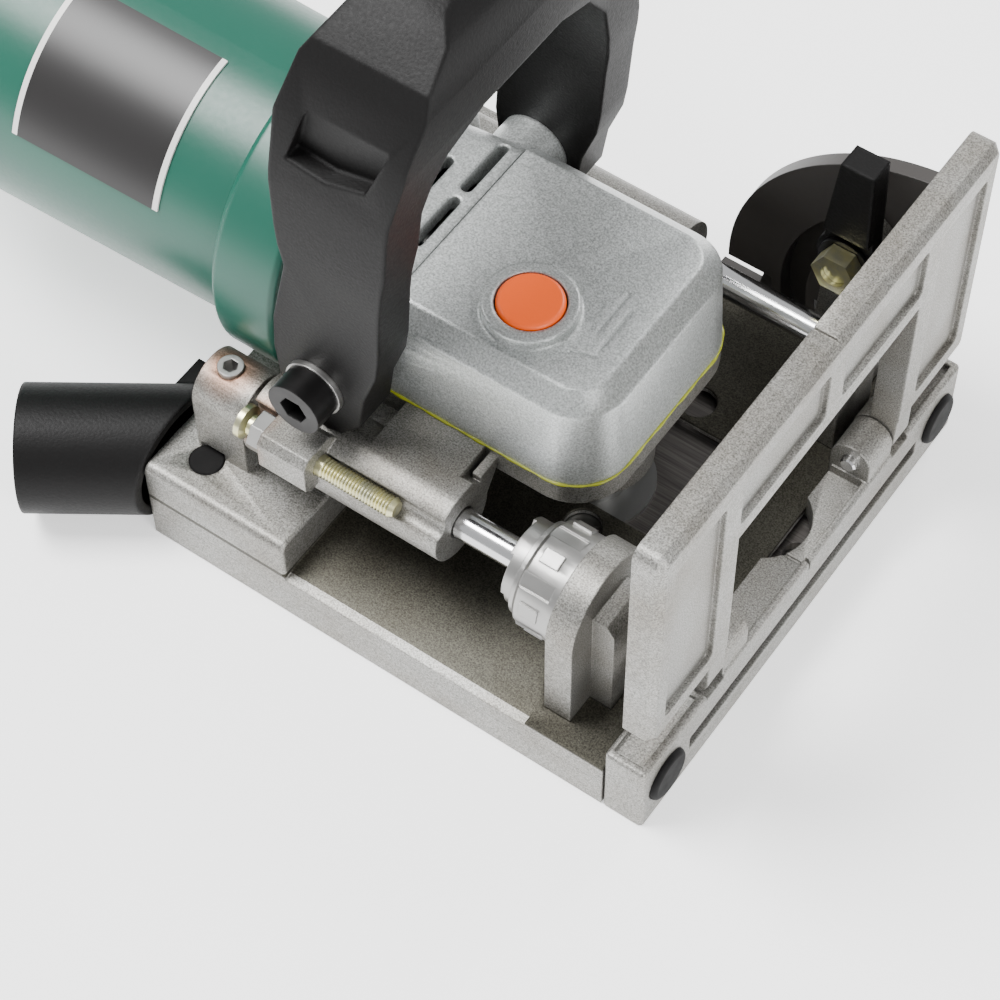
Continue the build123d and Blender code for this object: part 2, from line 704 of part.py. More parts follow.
# =============================== carriage ===============================
case_x0 = -25.0
with BuildPart() as carriage:
    # flange that follows the gear case
    with BuildSketch(Plane.XY.offset(flange_z)) as flange_outline:
        box_sketch(case_x0, case_front, machine_y - case_half, machine_y + case_half)
        fillet(flange_outline.vertices().sort_by(Axis.X)[-2:], radius=13.0)
    extrude(amount=table_z - flange_z)
    for rod_y, side in ((near_y, -1), (far_y, 1)):
        with BuildSketch(yz(boss_back)):
            with Locations((rod_y, rod_z)):
                Circle(boss_r)
        extrude(amount=boss_front - boss_back)
        # flat table joining the boss to the flange
        y0 = min(rod_y, machine_y + side * 27.0)
        y1 = max(rod_y, machine_y + side * 27.0)
        with BuildSketch(Plane.XY.offset(flange_z)):
            box_sketch(-17.5, 3.0, y0, y1)
            y2 = min(rod_y, machine_y + side * 39.0)
            y3 = max(rod_y, machine_y + side * 39.0)
            box_sketch(-17.5, boss_front, y2, y3)
        extrude(amount=table_z - flange_z)
    # gussets below the table, at the front face of each boss
    for side in (-1, 1):
        with BuildSketch(yz(boss_front - 2.2)):
            with BuildLine():
                Polyline(
                    (machine_y + side * 28.5, table_z - 1.5), (machine_y + side * 36.0, table_z - 1.5),
                    (machine_y + side * 36.0, 38.5), close=True,
                )
            make_face()
        extrude(amount=2.2)
    # bearing housing under the flange
    with BuildSketch(Plane.XY.offset(24.0)):
        with Locations((spindle_x, machine_y)):
            Circle(13.2)
    extrude(amount=flange_z - 24.0 + 1)
    # block for the depth screw, beside the near boss
    with BuildSketch(yz(-37.0)) as screw_block:
        box_sketch(-59.7, -48.5, 42.5, 53.5)
        chamfer(screw_block.vertices(), length=1.8)
    extrude(amount=12.5)
    # bores: rods, spindle and bearing, depth screw
    for rod_y in (near_y, far_y):
        with BuildSketch(yz(boss_back - 1)):
            with Locations((rod_y, rod_z)):
                Circle(5.5)
        extrude(amount=boss_front - boss_back + 1 - 1.6, mode=Mode.SUBTRACT)
        with BuildSketch(yz(boss_back - 1)):
            with Locations((rod_y, rod_z)):
                Circle(4.0)
        extrude(amount=boss_front - boss_back + 2, mode=Mode.SUBTRACT)
    with BuildSketch(Plane.XY.offset(26.0)):
        with Locations((spindle_x, machine_y)):
            Circle(11.0)
    extrude(amount=40, mode=Mode.SUBTRACT)
    with BuildSketch(Plane.XY.offset(20.0)):
        with Locations((spindle_x, machine_y)):
            Circle(8.2)
    extrude(amount=10, mode=Mode.SUBTRACT)
    with BuildSketch(yz(-40)):
        with Locations((-54.2, 48.0)):
            Circle(2.5)
    extrude(amount=20, mode=Mode.SUBTRACT)
    # the depth screw lies in a groove along the near boss
    with BuildSketch(yz(-24.5)):
        with Locations((-54.2, 48.0)):
            Circle(2.8)
    extrude(amount=40, mode=Mode.SUBTRACT)
    with BuildSketch(yz(boss_back - 2)):
        with Locations((-54.2, 48.0)):
            Circle(4.9)
    extrude(amount=10, mode=Mode.SUBTRACT)
    # holes for the case screws
    with BuildSketch(Plane.XY.offset(flange_z - 1)):
        with Locations(*case_screw_at):
            Circle(1.8)
    extrude(amount=10, mode=Mode.SUBTRACT)
finish(carriage.part, "carriage")

with BuildPart() as rod_bushings:
    for rod_y in (near_y, far_y):
        for bush_x in (boss_back + 0.6, boss_front - 9.6):
            with BuildSketch(yz(bush_x)):
                with Locations((rod_y, rod_z)):
                    Circle(5.5)
                    Circle(rod_r + 0.05, mode=Mode.SUBTRACT)
            extrude(amount=8.0)
finish(rod_bushings.part, "rod_bushings")

# springs round the rods, inside the bosses, between the rear bush and a clip on the rod
with BuildPart() as return_springs:
    for rod_y in (near_y, far_y):
        for turn in range(8):
            with BuildSketch(yz(boss_back + 9.1 + 4.0 * turn)):
                with Locations((rod_y, rod_z)):
                    Circle(5.0)
                    Circle(4.0, mode=Mode.SUBTRACT)
            extrude(amount=1.2)
        for side in (-1, 1):
            with Locations((boss_back + 9.1, rod_y + side * 4.5, rod_z)):
                Box(29.2, 0.9, 1.2, align=(Align.MIN, Align.CENTER, Align.CENTER))
finish(return_springs.part, "return_springs")

with BuildPart() as rod_clips:
    for rod_y in (near_y, far_y):
        with BuildSketch(yz(-6.4)):
            with Locations((rod_y, rod_z)):
                Circle(5.0)
                Circle(rod_r, mode=Mode.SUBTRACT)
        extrude(amount=1.4)
finish(rod_clips.part, "rod_clips")

with BuildPart() as depth_screw:
    with BuildSketch(Plane.XY) as screw_profile:
        with BuildLine():
            pitch = 0.8
            turns = 22
            points = [(0, -45.0), (4.0, -45.0), (4.0, -43.6), (2.45, -42.8), (2.45, -23.0)]
            for turn in range(turns):
                points.append((2.0, -22.6 + pitch * turn))
                points.append((2.45, -22.2 + pitch * turn))
            points.append((1.8, -4.2))
            points.append((0, -4.2))
            Polyline(*points, close=True)
        make_face()
    revolve(axis=Axis.Y)
depth_screw.part.move(Location((0, 0, 0), (0, 0, 1), -90))
depth_screw.part.move(Location((0, -54.2, 48.0)))
finish(depth_screw.part, "depth_screw")

with BuildPart() as depth_lock_nut:
    with BuildSketch(yz(-41.0)):
        with Locations((-54.2, 48.0)):
            RegularPolygon(4.6, 6)
            Circle(2.5, mode=Mode.SUBTRACT)
    extrude(amount=3.9)
finish(depth_lock_nut.part, "depth_lock_nut")

# =============================== gear case ===============================
with BuildPart() as gear_case_gasket:
    with BuildSketch(Plane.XY.offset(table_z)) as gasket_outline:
        box_sketch(case_x0, case_front, machine_y - case_half, machine_y + case_half)
        fillet(gasket_outline.vertices().sort_by(Axis.X)[-2:], radius=13.0)
        with Locations((1.5, machine_y)):
            RectangleRounded(47.0, 48.0, 6.0, mode=Mode.SUBTRACT)
        with Locations(*case_screw_at):
            Circle(1.8, mode=Mode.SUBTRACT)
    extrude(amount=gasket_t)
finish(gear_case_gasket.part, "gear_case_gasket")

with BuildPart() as gear_case:
    with BuildSketch(Plane.XY.offset(case_z)) as case_outline:
        box_sketch(case_x0, case_front, machine_y - case_half, machine_y + case_half)
        fillet(case_outline.vertices().sort_by(Axis.X)[-2:], radius=13.0)
    extrude(amount=case_top - case_z, taper=3.0)
    chamfer(gear_case.faces().sort_by(Axis.Z)[-1].edges().sort_by(Axis.X)[1:], length=4.2)
    # neck that spreads to the round motor flange
    with BuildSketch(yz(case_x0 + 1)):
        with Locations((machine_y, 65.2)):
            RectangleRounded(53.0, 26.4, 5.0)
    with BuildSketch(yz(case_back)):
        with Locations((machine_y, 60.5)):
            RectangleRounded(55.0, 38.0, 13.0)
    loft()
    turned(case_back, case_back + 3.0, 35.2)
    # lugs for the bow handle
    with BuildSketch(xz(machine_y + 34.5)):
        with Locations((handle_bolt_x, handle_bolt_z)):
            Circle(8.5)
    extrude(amount=69.0)
    # ring round the lock button
    with BuildSketch(Plane.XY.offset(case_top - 2)):
        with Locations((button_x, button_y)):
            Circle(10.5)
    extrude(amount=4.8)
    chamfer(gear_case.edges().filter_by(GeomType.CIRCLE).group_by(Axis.Z)[-1], length=0.6)
    # inside: gear room with a bearing boss below the roof and pillars for the screws
    with BuildSketch(Plane.XY.offset(case_z - 1)) as room:
        box_sketch(-13.0, case_front - 2.6, machine_y - case_half + 4.5, machine_y + case_half - 4.5)
        fillet(room.vertices().sort_by(Axis.X)[-2:], radius=10.0)
    extrude(amount=case_top - case_z - 3.9, mode=Mode.SUBTRACT)
    upright(66.0, 75.0, 8.2)
    for at_x, at_y in case_screw_at[2:]:
        with Locations((at_x, at_y, case_z)):
            Cylinder(4.0, 10.0, align=(Align.CENTER, Align.CENTER, Align.MIN))
    turned(case_back - 1, -7.0, 8.0, mode=Mode.SUBTRACT)
    turned(-24.0, -16.0, 9.5, mode=Mode.SUBTRACT)
    with BuildSketch(yz(case_back - 1)):
        with Locations((machine_y, 61.0)):
            RectangleRounded(47.0, 30.0, 9.0)
    with BuildSketch(yz(-25.0)):
        with Locations((machine_y, 64.0)):
            RectangleRounded(30.0, 20.0, 6.0)
    loft(mode=Mode.SUBTRACT)
    # upper bearing seat over the spindle, and the button bore
    upright(65.0, 72.8, 6.0, mode=Mode.SUBTRACT)
    with BuildSketch(Plane.XY.offset(button_floor)):
        with Locations((button_x, button_y)):
            Circle(7.8)
    extrude(amount=10, mode=Mode.SUBTRACT)
    with BuildSketch(Plane.XY.offset(60)):
        with Locations((pin_x, pin_y)):
            Circle(2.4)
    extrude(amount=25, mode=Mode.SUBTRACT)
    # cooling slots across the top of the neck
    with BuildSketch(Plane.XY.offset(68)):
        with Locations((-28.0, -6.0), (-35.5, 2.0), (-28.0, 12.0)):
            SlotOverall(16.0, 2.9, rotation=90)
    extrude(amount=25, mode=Mode.SUBTRACT)
    # arrow for the blade's turning, engraved ahead of the button
    with BuildSketch(Plane.XY.offset(case_top - 0.3)):
        with Locations((19.5, -8.5), (16.5, -5.0)):
            Rectangle(0.6, 13.0)
        with Locations((17.5, -17.0)):
            Rectangle(6.0, 0.6, rotation=20)
    extrude(amount=2, mode=Mode.SUBTRACT)
    # bolt bores of the bow handle, and the case screw bores
    with BuildSketch(xz(machine_y + 60)):
        with Locations((handle_bolt_x, handle_bolt_z)):
            Circle(4.0)
    extrude(amount=120, mode=Mode.SUBTRACT)
    with BuildSketch(Plane.XY.offset(case_z - 1)):
        with Locations(*case_screw_at):
            Circle(1.5)
    extrude(amount=9, mode=Mode.SUBTRACT)
    # flat underside at the seam
    with BuildSketch(Plane.XY.offset(10)):
        box_sketch(case_x0 - 0.1, 60, -60, 60)
    extrude(amount=case_z - 10, mode=Mode.SUBTRACT)
finish(gear_case.part, "gear_case")

with BuildPart() as case_screws:
    for at_x, at_y in case_screw_at:
        with Locations((at_x, at_y, flange_z - 2.4)):
            Cylinder(3.0, 2.4, align=(Align.CENTER, Align.CENTER, Align.MIN))
        with Locations((at_x, at_y, flange_z - 2.4)):
            Cylinder(1.5, 16.4, align=(Align.CENTER, Align.CENTER, Align.MIN))
        with Locations((at_x, at_y, flange_z - 2.4)):
            Cylinder(1.2, 2.8, align=(Align.CENTER, Align.CENTER, Align.CENTER), mode=Mode.SUBTRACT)
finish(case_screws.part, "case_screws")

# =============================== lock button ===============================
with BuildPart() as lock_button:
    with BuildSketch(Plane.XY.offset(button_z)):
        with Locations((button_x, button_y)):
            Circle(7.4)
    extrude(amount=3.4)
    fillet(lock_button.edges().filter_by(GeomType.CIRCLE).group_by(Axis.Z)[-1], radius=1.0)
finish(lock_button.part, "lock_button")

with BuildPart() as lock_pin:
    with Locations((pin_x, pin_y, 59.8)):
        Cylinder(2.34, button_z - 59.8, align=(Align.CENTER, Align.CENTER, Align.MIN))
    chamfer(lock_pin.edges().filter_by(GeomType.CIRCLE).group_by(Axis.Z)[0], length=0.4)
finish(lock_pin.part, "lock_pin")

with BuildPart() as button_spring:
    with BuildSketch(Plane.XY.offset(button_floor)):
        with Locations((button_x, button_y)):
            Circle(7.0)
            Circle(6.2, mode=Mode.SUBTRACT)
    extrude(amount=button_z - button_floor)
finish(button_spring.part, "button_spring")

# =============================== spindle and blade ===============================
with BuildPart() as spindle:
    upright(5.0, 24.0, 5.0)
    upright(24.0, 52.0, 6.0)
    upright(52.0, 65.0, 5.0)
    upright(65.0, 72.4, 4.0)
    chamfer(spindle.edges().filter_by(GeomType.CIRCLE).group_by(Axis.Z)[0], length=0.6)
finish(spindle.part, "spindle")

with BuildPart() as bevel_gear:
    gear_tip = 15.3
    gear_teeth = 30
    with BuildSketch(Plane.XZ) as gear_profile:
        with BuildLine():
            Polyline(
                (5.0, 52.0), (11.0, 52.0), (gear_tip - 1.0, 54.0), (gear_tip - 1.0, 55.3), (9.4, 57.6),
                (5.0, 57.6), close=True,
            )
        make_face()
    revolve(axis=Axis.Z)
    # shallow tooth gaps round the sloping face
    with PolarLocations(12.2, gear_teeth):
        with Locations((0, 0, 57.15)):
            Box(6.4, 1.1, 1.6, rotation=(0, 24, 0), mode=Mode.SUBTRACT)
bevel_gear.part.move(Location((spindle_x, machine_y, 0)))
finish(bevel_gear.part, "bevel_gear")

with BuildPart() as spindle_bearings:
    for z0, z1, outer, inner in ((26.0, 35.0, 11.0, 6.05), (39.0, 48.0, 11.0, 6.05), (66.2, 72.6, 6.0, 4.05)):
        upright(z0, z1, outer)
        upright(z0 - 1, z1 + 1, inner, mode=Mode.SUBTRACT)
finish(spindle_bearings.part, "spindle_bearings")

blade_teeth = 12
with BuildPart() as blade:
    with BuildSketch(Plane.XY.offset(blade_z - 1.2)):
        with Locations((spindle_x, machine_y)):
            Circle(blade_r - 2.5)
            with PolarLocations(blade_r - 3.2, blade_teeth, start_angle=10):
                Circle(3.4, mode=Mode.SUBTRACT)
            with PolarLocations(30.0, 4, start_angle=45):
                Circle(3.0, mode=Mode.SUBTRACT)
            Circle(5.0, mode=Mode.SUBTRACT)
    extrude(amount=2.4)
    with Locations((spindle_x, machine_y, blade_z)):
        with PolarLocations(blade_r - 2.6, blade_teeth, start_angle=10):
            with Locations((0, -2.6, 0)):
                Box(4.6, 1.9, 3.9, mode=Mode.SUBTRACT)
finish(blade.part, "blade")

with BuildPart() as blade_tips:
    with Locations((spindle_x, machine_y, blade_z)):
        with PolarLocations(blade_r - 2.6, blade_teeth, start_angle=10):
            with Locations((0, -2.6, 0)):
                Box(4.6, 1.9, 3.9)
finish(blade_tips.part, "blade_tips")

with BuildPart() as blade_flanges:
    upright(blade_z + 1.2, blade_z + 2.4, 14.0)
    upright(blade_z + 2.4, 24.0, 7.4)
    upright(blade_z - 4.6, blade_z - 1.2, 11.5)
    for side in (-1, 1):
        upright(blade_z - 5, blade_z - 2.5, 1.6, mode=Mode.SUBTRACT, at=(side * 8.2, 0))
    upright(blade_z - 5, 25.0, 5.0, mode=Mode.SUBTRACT)
finish(blade_flanges.part, "blade_flanges")

# =============================== motor ===============================
with BuildPart() as bevel_pinion:
    with BuildSketch(Plane(origin=(0, machine_y, motor_z), x_dir=(1, 0, 0), z_dir=(0, -1, 0))):
        with BuildLine():
            Polyline(
                (-8.0, 3.0), (-8.0, 5.4), (-3.6, 6.3), (-2.3, 6.1), (2.6, 3.9), (2.6, 3.0), close=True,
            )
        make_face()
    revolve(axis=Axis((0, machine_y, motor_z), (1, 0, 0)))
finish(bevel_pinion.part, "bevel_pinion")

with BuildPart() as armature_shaft:
    turned(-156.0, -8.0, 4.0)
    turned(-8.0, 2.8, 3.0)
finish(armature_shaft.part, "armature_shaft")

with BuildPart() as armature_core:
    turned(-124.0, -80.0, 20.0)
    turned(-125.0, -79.0, 4.0, mode=Mode.SUBTRACT)
    for slot in range(12):
        angle = math.radians(30 * slot)
        with Locations((-102, machine_y + 18.0 * math.cos(angle), motor_z + 18.0 * math.sin(angle))):
            Box(46, 4.5, 2.6, rotation=(30 * slot, 0, 0), mode=Mode.SUBTRACT)
finish(armature_core.part, "armature_core")

with BuildPart() as armature_windings:
    for x0, x1 in ((-130.0, -124.0), (-80.0, -74.0)):
        turned(x0, x1, 16.5)
    turned(-131.0, -73.0, 4.0, mode=Mode.SUBTRACT)
    fillet(armature_windings.edges().filter_by(GeomType.CIRCLE).group_by(Axis.X)[-1].sort_by(Axis.Z)[-1], radius=2)
finish(armature_windings.part, "armature_windings")

with BuildPart() as commutator:
    turned(-144.0, -131.0, 11.0)
    turned(-145.0, -130.0, 4.0, mode=Mode.SUBTRACT)
    for bar in range(24):
        angle = math.radians(15 * bar)
        with Locations((-137.5, machine_y + 11.0 * math.cos(angle), motor_z + 11.0 * math.sin(angle))):
            Box(14, 1.6, 0.5, rotation=(15 * bar, 0, 0), mode=Mode.SUBTRACT)
finish(commutator.part, "commutator")

with BuildPart() as cooling_fan:
    turned(-62.0, -60.0, 29.0)
    turned(-66.0, -55.0, 7.5)
    for vane in range(12):
        angle = math.radians(30 * vane)
        with Locations((-57.5, machine_y + 19.0 * math.cos(angle), motor_z + 19.0 * math.sin(angle))):
            Box(6.0, 19.0, 1.4, rotation=(30 * vane, 0, 0))
    turned(-67.0, -53.0, 4.0, mode=Mode.SUBTRACT)
finish(cooling_fan.part, "cooling_fan")

with BuildPart() as stator:
    turned(-124.0, -80.0, 30.5)
    turned(-125.0, -79.0, 20.6, mode=Mode.SUBTRACT)
finish(stator.part, "stator")

with BuildPart() as field_coils:
    for x0, x1 in ((-129.5, -124.0), (-80.0, -74.5)):
        turned(x0, x1, 28.5)
        turned(x0 - 1, x1 + 1, 22.0, mode=Mode.SUBTRACT)
finish(field_coils.part, "field_coils")

with BuildPart() as motor_bearings:
    for x0, x1, outer in ((-24.0, -16.0, 9.5), (-156.0, -149.0, 11.0)):
        turned(x0, x1, outer)
        turned(x0 - 1, x1 + 1, 4.05, mode=Mode.SUBTRACT)
finish(motor_bearings.part, "motor_bearings")

with BuildPart() as carbon_brushes:
    for side in (-1, 1):
        with Locations((-137.5, machine_y + side * 17.6, motor_z)):
            Box(6.0, 12.4, 5.0)
finish(carbon_brushes.part, "carbon_brushes")

with BuildPart() as motor_housing:
    with BuildSketch(Plane(origin=(0, machine_y, motor_z), x_dir=(1, 0, 0), z_dir=(0, -1, 0))):
        with BuildLine():
            Polyline(
                (collar_front, 33.6), (collar_front, 37.2), (collar_front - 1.2, collar_r),
                (collar_back + 1.6, collar_r), (collar_back, collar_r - 1.6), (collar_back, body_r),
                (-131, 35.2), (body_back, 35.6), (body_back - 7, 33.0), (body_back - 18, 26.5),
                (grip_back + 5, 25.5), (grip_back, 21.0), (grip_back, 4.2), (grip_back + 3, 4.2),
                (grip_back + 3, 19.5), (grip_back + 6.2, 22.5), (body_back - 16, 23.3), (body_back - 6, 29.5),
                (body_back + 1, 30.5), (collar_back + 2, 30.5), (collar_back + 4, 33.6), close=True,
            )
        make_face()
    revolve(axis=Axis((0, machine_y, motor_z), (1, 0, 0)))
    # inner wall that holds the rear bearing
    turned(-157.0, -148.5, 31.5)
    turned(-156.0, -148.0, 11.0, mode=Mode.SUBTRACT)
    turned(-158.0, -148.0, 8.0, mode=Mode.SUBTRACT)
    for hole in range(6):
        angle = math.radians(60 * hole + 30)
        with Locations((-152, machine_y + 21.0 * math.cos(angle), motor_z + 21.0 * math.sin(angle))):
            Cylinder(6.0, 12, rotation=(0, 90, 0), mode=Mode.SUBTRACT)
    # sockets for the brushes
    for side in (-1, 1):
        with Locations((-137.5, machine_y + side * 27.0, motor_z)):
            Box(10.0, 9.5, 9.0)
            Box(6.0, 9.6, 5.0, mode=Mode.SUBTRACT)
    # air intake slots round the shoulder of the housing
    for slot in range(12):
        angle = 30 * slot + 15
        turn = math.radians(angle)
        with Locations((body_back - 11, machine_y + 30 * math.cos(turn), motor_z + 30 * math.sin(turn))):
            Box(11, 16, 3.0, rotation=(angle, 0, 0), mode=Mode.SUBTRACT)
    # ribs that hold the switch, and the slot for the stem of its slider
    for side in (-1, 1):
        with Locations((-195.0, machine_y + 6.0, motor_z + side * 20.5)):
            Box(30.0, 8.0, 5.0)
    with Locations((-192.0, machine_y + 25.0, motor_z)):
        Box(22.0, 9.0, 6.0, mode=Mode.SUBTRACT)
finish(motor_housing.part, "motor_housing")

with BuildPart() as switch_slider:
    with Locations((-195.0, machine_y + 28.8, motor_z)):
        Box(20.0, 4.0, 12.0)
    chamfer(switch_slider.faces().sort_by(Axis.Y)[-1].edges(), length=1.0)
    for rib in range(4):
        with Locations((-200.0 + 3.2 * rib, machine_y + 31.0, motor_z)):
            Box(1.2, 1.6, 9.0)
    with Locations((-195.0, machine_y + 24.0, motor_z)):
        Box(10.0, 9.0, 4.8)
finish(switch_slider.part, "switch_slider")

with BuildPart() as power_switch:
    with Locations((-195.0, machine_y + 6.0, motor_z)):
        Box(30.0, 12.0, 36.0)
finish(power_switch.part, "power_switch")

with BuildPart() as cord_gland:
    with BuildSketch(Plane(origin=(0, machine_y, motor_z), x_dir=(1, 0, 0), z_dir=(0, -1, 0))):
        with BuildLine():
            Polyline(
                (grip_back + 6.0, 2.6), (grip_back + 6.0, 6.4), (grip_back + 3.0, 6.4), (grip_back + 3.0, 4.2),
                (grip_back, 4.2), (grip_back, 7.6), (grip_back - 5.0, 7.0), (grip_back - 7.0, 5.4),
                (grip_back - 7.0, 2.6), close=True,
            )
        make_face()
    revolve(axis=Axis((0, machine_y, motor_z), (1, 0, 0)))
finish(cord_gland.part, "cord_gland")

with BuildPart() as nameplate:
    plate_start = 8.0
    s0 = math.sin(math.radians(plate_start))
    c0 = math.cos(math.radians(plate_start))
    with BuildSketch(Plane(origin=(0, machine_y, motor_z), x_dir=(1, 0, 0), z_dir=(0, -c0, -s0))):
        with BuildLine():
            r_fore = body_r + (collar_back + 81.0) / (collar_back + 131.0) * (35.2 - body_r)
            r_aft = body_r + (collar_back + 121.0) / (collar_back + 131.0) * (35.2 - body_r)
            Polyline(
                (-121.0, r_aft + 0.02), (-81.0, r_fore + 0.02), (-81.0, r_fore + 0.5), (-121.0, r_aft + 0.5),
                close=True,
            )
        make_face()
    revolve(axis=Axis((0, machine_y, motor_z), (1, 0, 0)), revolution_arc=62)
finish(nameplate.part, "nameplate")

# =============================== bow handle ===============================
with BuildPart() as bow_handle:
    # front view of the bow, solid across
    with BuildSketch(yz(-60)):
        with BuildLine():
            arch = []
            for hy, hz in (
                (45.5, 52.0), (45.5, 108.0), (43.5, 124.0), (39.0, 141.0), (30.0, 154.0), (17.0, 162.0), (6.0, 164.0)
            ):
                arch.append((machine_y - hy, hz))
            mirrored = []
            for hy, hz in reversed(arch):
                mirrored.append((2 * machine_y - hy, hz))
            Polyline(*(arch + mirrored), close=True)
        make_face()
    extrude(amount=80)
    # finger room
    with BuildSketch(yz(-61)):
        with BuildLine():
            Polyline(
                (machine_y - 34.5, 40.0), (machine_y - 34.5, 106.0), (machine_y - 31.5, 122.0),
                (machine_y - 24.0, 132.5), (machine_y - 13.0, 137.0), (machine_y + 13.0, 137.0),
                (machine_y + 24.0, 132.5), (machine_y + 31.5, 122.0), (machine_y + 34.5, 106.0),
                (machine_y + 34.5, 40.0), close=True,
            )
        make_face()
    extrude(amount=82, mode=Mode.SUBTRACT)
    # side view of the arms
    with BuildSketch(xz(70)):
        with BuildLine():
            Polyline(
                (-38.5, 62.1), (-39.5, 72.1), (-38.8, 82.4), (-34.4, 102.3), (-36.5, 113.0), (-38.2, 126.7),
                (-38.6, 140.0), (-37.0, 151.0), (-32.0, 159.5), (-24.0, 164.5), (-16.0, 164.0), (-9.5, 159.0),
                (-6.5, 150.0), (-7.5, 138.0), (-9.4, 127.0), (-9.6, 113.0), (-11.0, 100.4), (-12.0, 86.2),
                (-12.9, 80.0), (-16.5, 69.6), (-18.0, 59.5), (-23.0, 53.4), (-27.1, 52.0), (-33.0, 55.0),
                close=True,
            )
        make_face()
    extrude(amount=140, mode=Mode.INTERSECT)
    # moulded pocket high on the outer face of each arm
    for side in (-1, 1):
        y_cut = machine_y + side * 37.5
        with BuildSketch(xz(max(y_cut, y_cut + side * 12))):
            with BuildLine():
                Polyline(
                    (-34.5, 131.0), (-25.0, 130.2), (-15.5, 132.5), (-12.0, 142.0), (-15.0, 148.0),
                    (-30.0, 148.0), close=True,
                )
            make_face()
        extrude(amount=12, mode=Mode.SUBTRACT)
    # bolt bores
    with BuildSketch(xz(80)):
        with Locations((handle_bolt_x, handle_bolt_z)):
            Circle(4.0)
    extrude(amount=160, mode=Mode.SUBTRACT)
finish(bow_handle.part, "bow_handle")

with BuildPart() as handle_bolts:
    for side in (-1, 1):
        outer = machine_y + side * 53.5
        with BuildSketch(xz(max(outer, outer - side * 6.6))):
            with Locations((handle_bolt_x, handle_bolt_z)):
                Circle(6.5)
        extrude(amount=6.6)
        with BuildSketch(xz(max(outer - side * 4.0, outer - side * 34.0))):
            with Locations((handle_bolt_x, handle_bolt_z)):
                Circle(3.98)
        extrude(amount=30.0)
        with BuildSketch(xz(max(outer + side, outer - side * 4.0))):
            with Locations((handle_bolt_x, handle_bolt_z)):
                RegularPolygon(3.46, 6)
        extrude(amount=5.0, mode=Mode.SUBTRACT)
finish(handle_bolts.part, "handle_bolts")

with BuildPart() as handle_washers:
    for side in (-1, 1):
        inner = machine_y + side * 45.5
        with BuildSketch(xz(max(inner, inner + side * 1.4))):
            with Locations((handle_bolt_x, handle_bolt_z)):
                Circle(7.0)
                Circle(4.0, mode=Mode.SUBTRACT)
        extrude(amount=1.4)
finish(handle_washers.part, "handle_washers")
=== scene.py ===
"""Biscuit joiner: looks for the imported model, in metres, in the model's own frame."""
import math

import bmesh
import bpy
import numpy as np
from mathutils import Matrix


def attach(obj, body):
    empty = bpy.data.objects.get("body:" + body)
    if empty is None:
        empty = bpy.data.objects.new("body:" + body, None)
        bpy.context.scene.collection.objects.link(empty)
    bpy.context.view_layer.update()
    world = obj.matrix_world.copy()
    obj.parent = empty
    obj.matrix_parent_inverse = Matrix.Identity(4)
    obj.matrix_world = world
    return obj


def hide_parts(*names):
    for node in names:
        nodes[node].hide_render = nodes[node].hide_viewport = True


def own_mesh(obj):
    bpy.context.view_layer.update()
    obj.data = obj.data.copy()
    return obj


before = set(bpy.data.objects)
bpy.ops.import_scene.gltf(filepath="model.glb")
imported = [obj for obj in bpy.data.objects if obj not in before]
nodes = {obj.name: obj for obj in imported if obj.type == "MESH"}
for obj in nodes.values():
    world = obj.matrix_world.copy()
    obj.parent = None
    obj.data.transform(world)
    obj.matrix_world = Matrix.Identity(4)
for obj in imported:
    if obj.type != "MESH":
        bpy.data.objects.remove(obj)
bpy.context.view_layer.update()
MM = 0.001

# ---- camera ------------------------------------------------------------------
# The joiner is looked down on from its right and a little from behind. The camera
# stands about 0.67 m away with a long lens, so the base shows little perspective.
lens = bpy.data.cameras.new("camera")
lens.sensor_width = 36.0
lens.lens = 103.89
lens.shift_x = -0.00567
lens.shift_y = 0.01971
lens.clip_start = 0.01
camera = bpy.data.objects.new("camera", lens)
right = (0.81828, 0.57480, -0.00591)
up = (-0.47622, 0.68363, 0.55305)
back = (0.32193, -0.44973, 0.83313)
turn = Matrix((right, up, back)).transposed()
camera.matrix_world = Matrix.Translation((0.21094, -0.31556, 0.55259)) @ turn.to_4x4()
bpy.context.scene.collection.objects.link(camera)
bpy.context.scene.camera = camera


# ---- floor and light -----------------------------------------------------------
# A plain white sweep and three large soft lamps, as on a small product table.
def linear(code):
    """sRGB hex colour to linear RGBA: each channel c becomes ((c + 0.055) / 1.055) ** 2.4."""
    channels = [int(code[i:i + 2], 16) / 255 for i in (1, 3, 5)]
    return tuple(c / 12.92 if c <= 0.04045 else ((c + 0.055) / 1.055) ** 2.4 for c in channels) + (1.0,)


def node(tree, kind, settings=None, links=None):
    """Adds one node: settings name its own options or its inputs, links go to its inputs."""
    made = tree.nodes.new(kind)
    for key, value in (settings or {}).items():
        if isinstance(key, int) or key in made.inputs:
            made.inputs[key].default_value = value
        else:
            setattr(made, key, value)
    for key, socket in (links or {}).items():
        tree.links.new(socket, made.inputs[key])
    return made


def new_material(name):
    """An empty node tree with its output, and the object coordinates it reads."""
    made = bpy.data.materials.new(name)
    made.use_nodes = True
    tree = made.node_tree
    tree.nodes.clear()
    place = node(tree, "ShaderNodeTexCoord").outputs["Object"]
    return made, tree, place


def close_material(tree, shader):
    node(tree, "ShaderNodeOutputMaterial", links={"Surface": shader.outputs[0]})


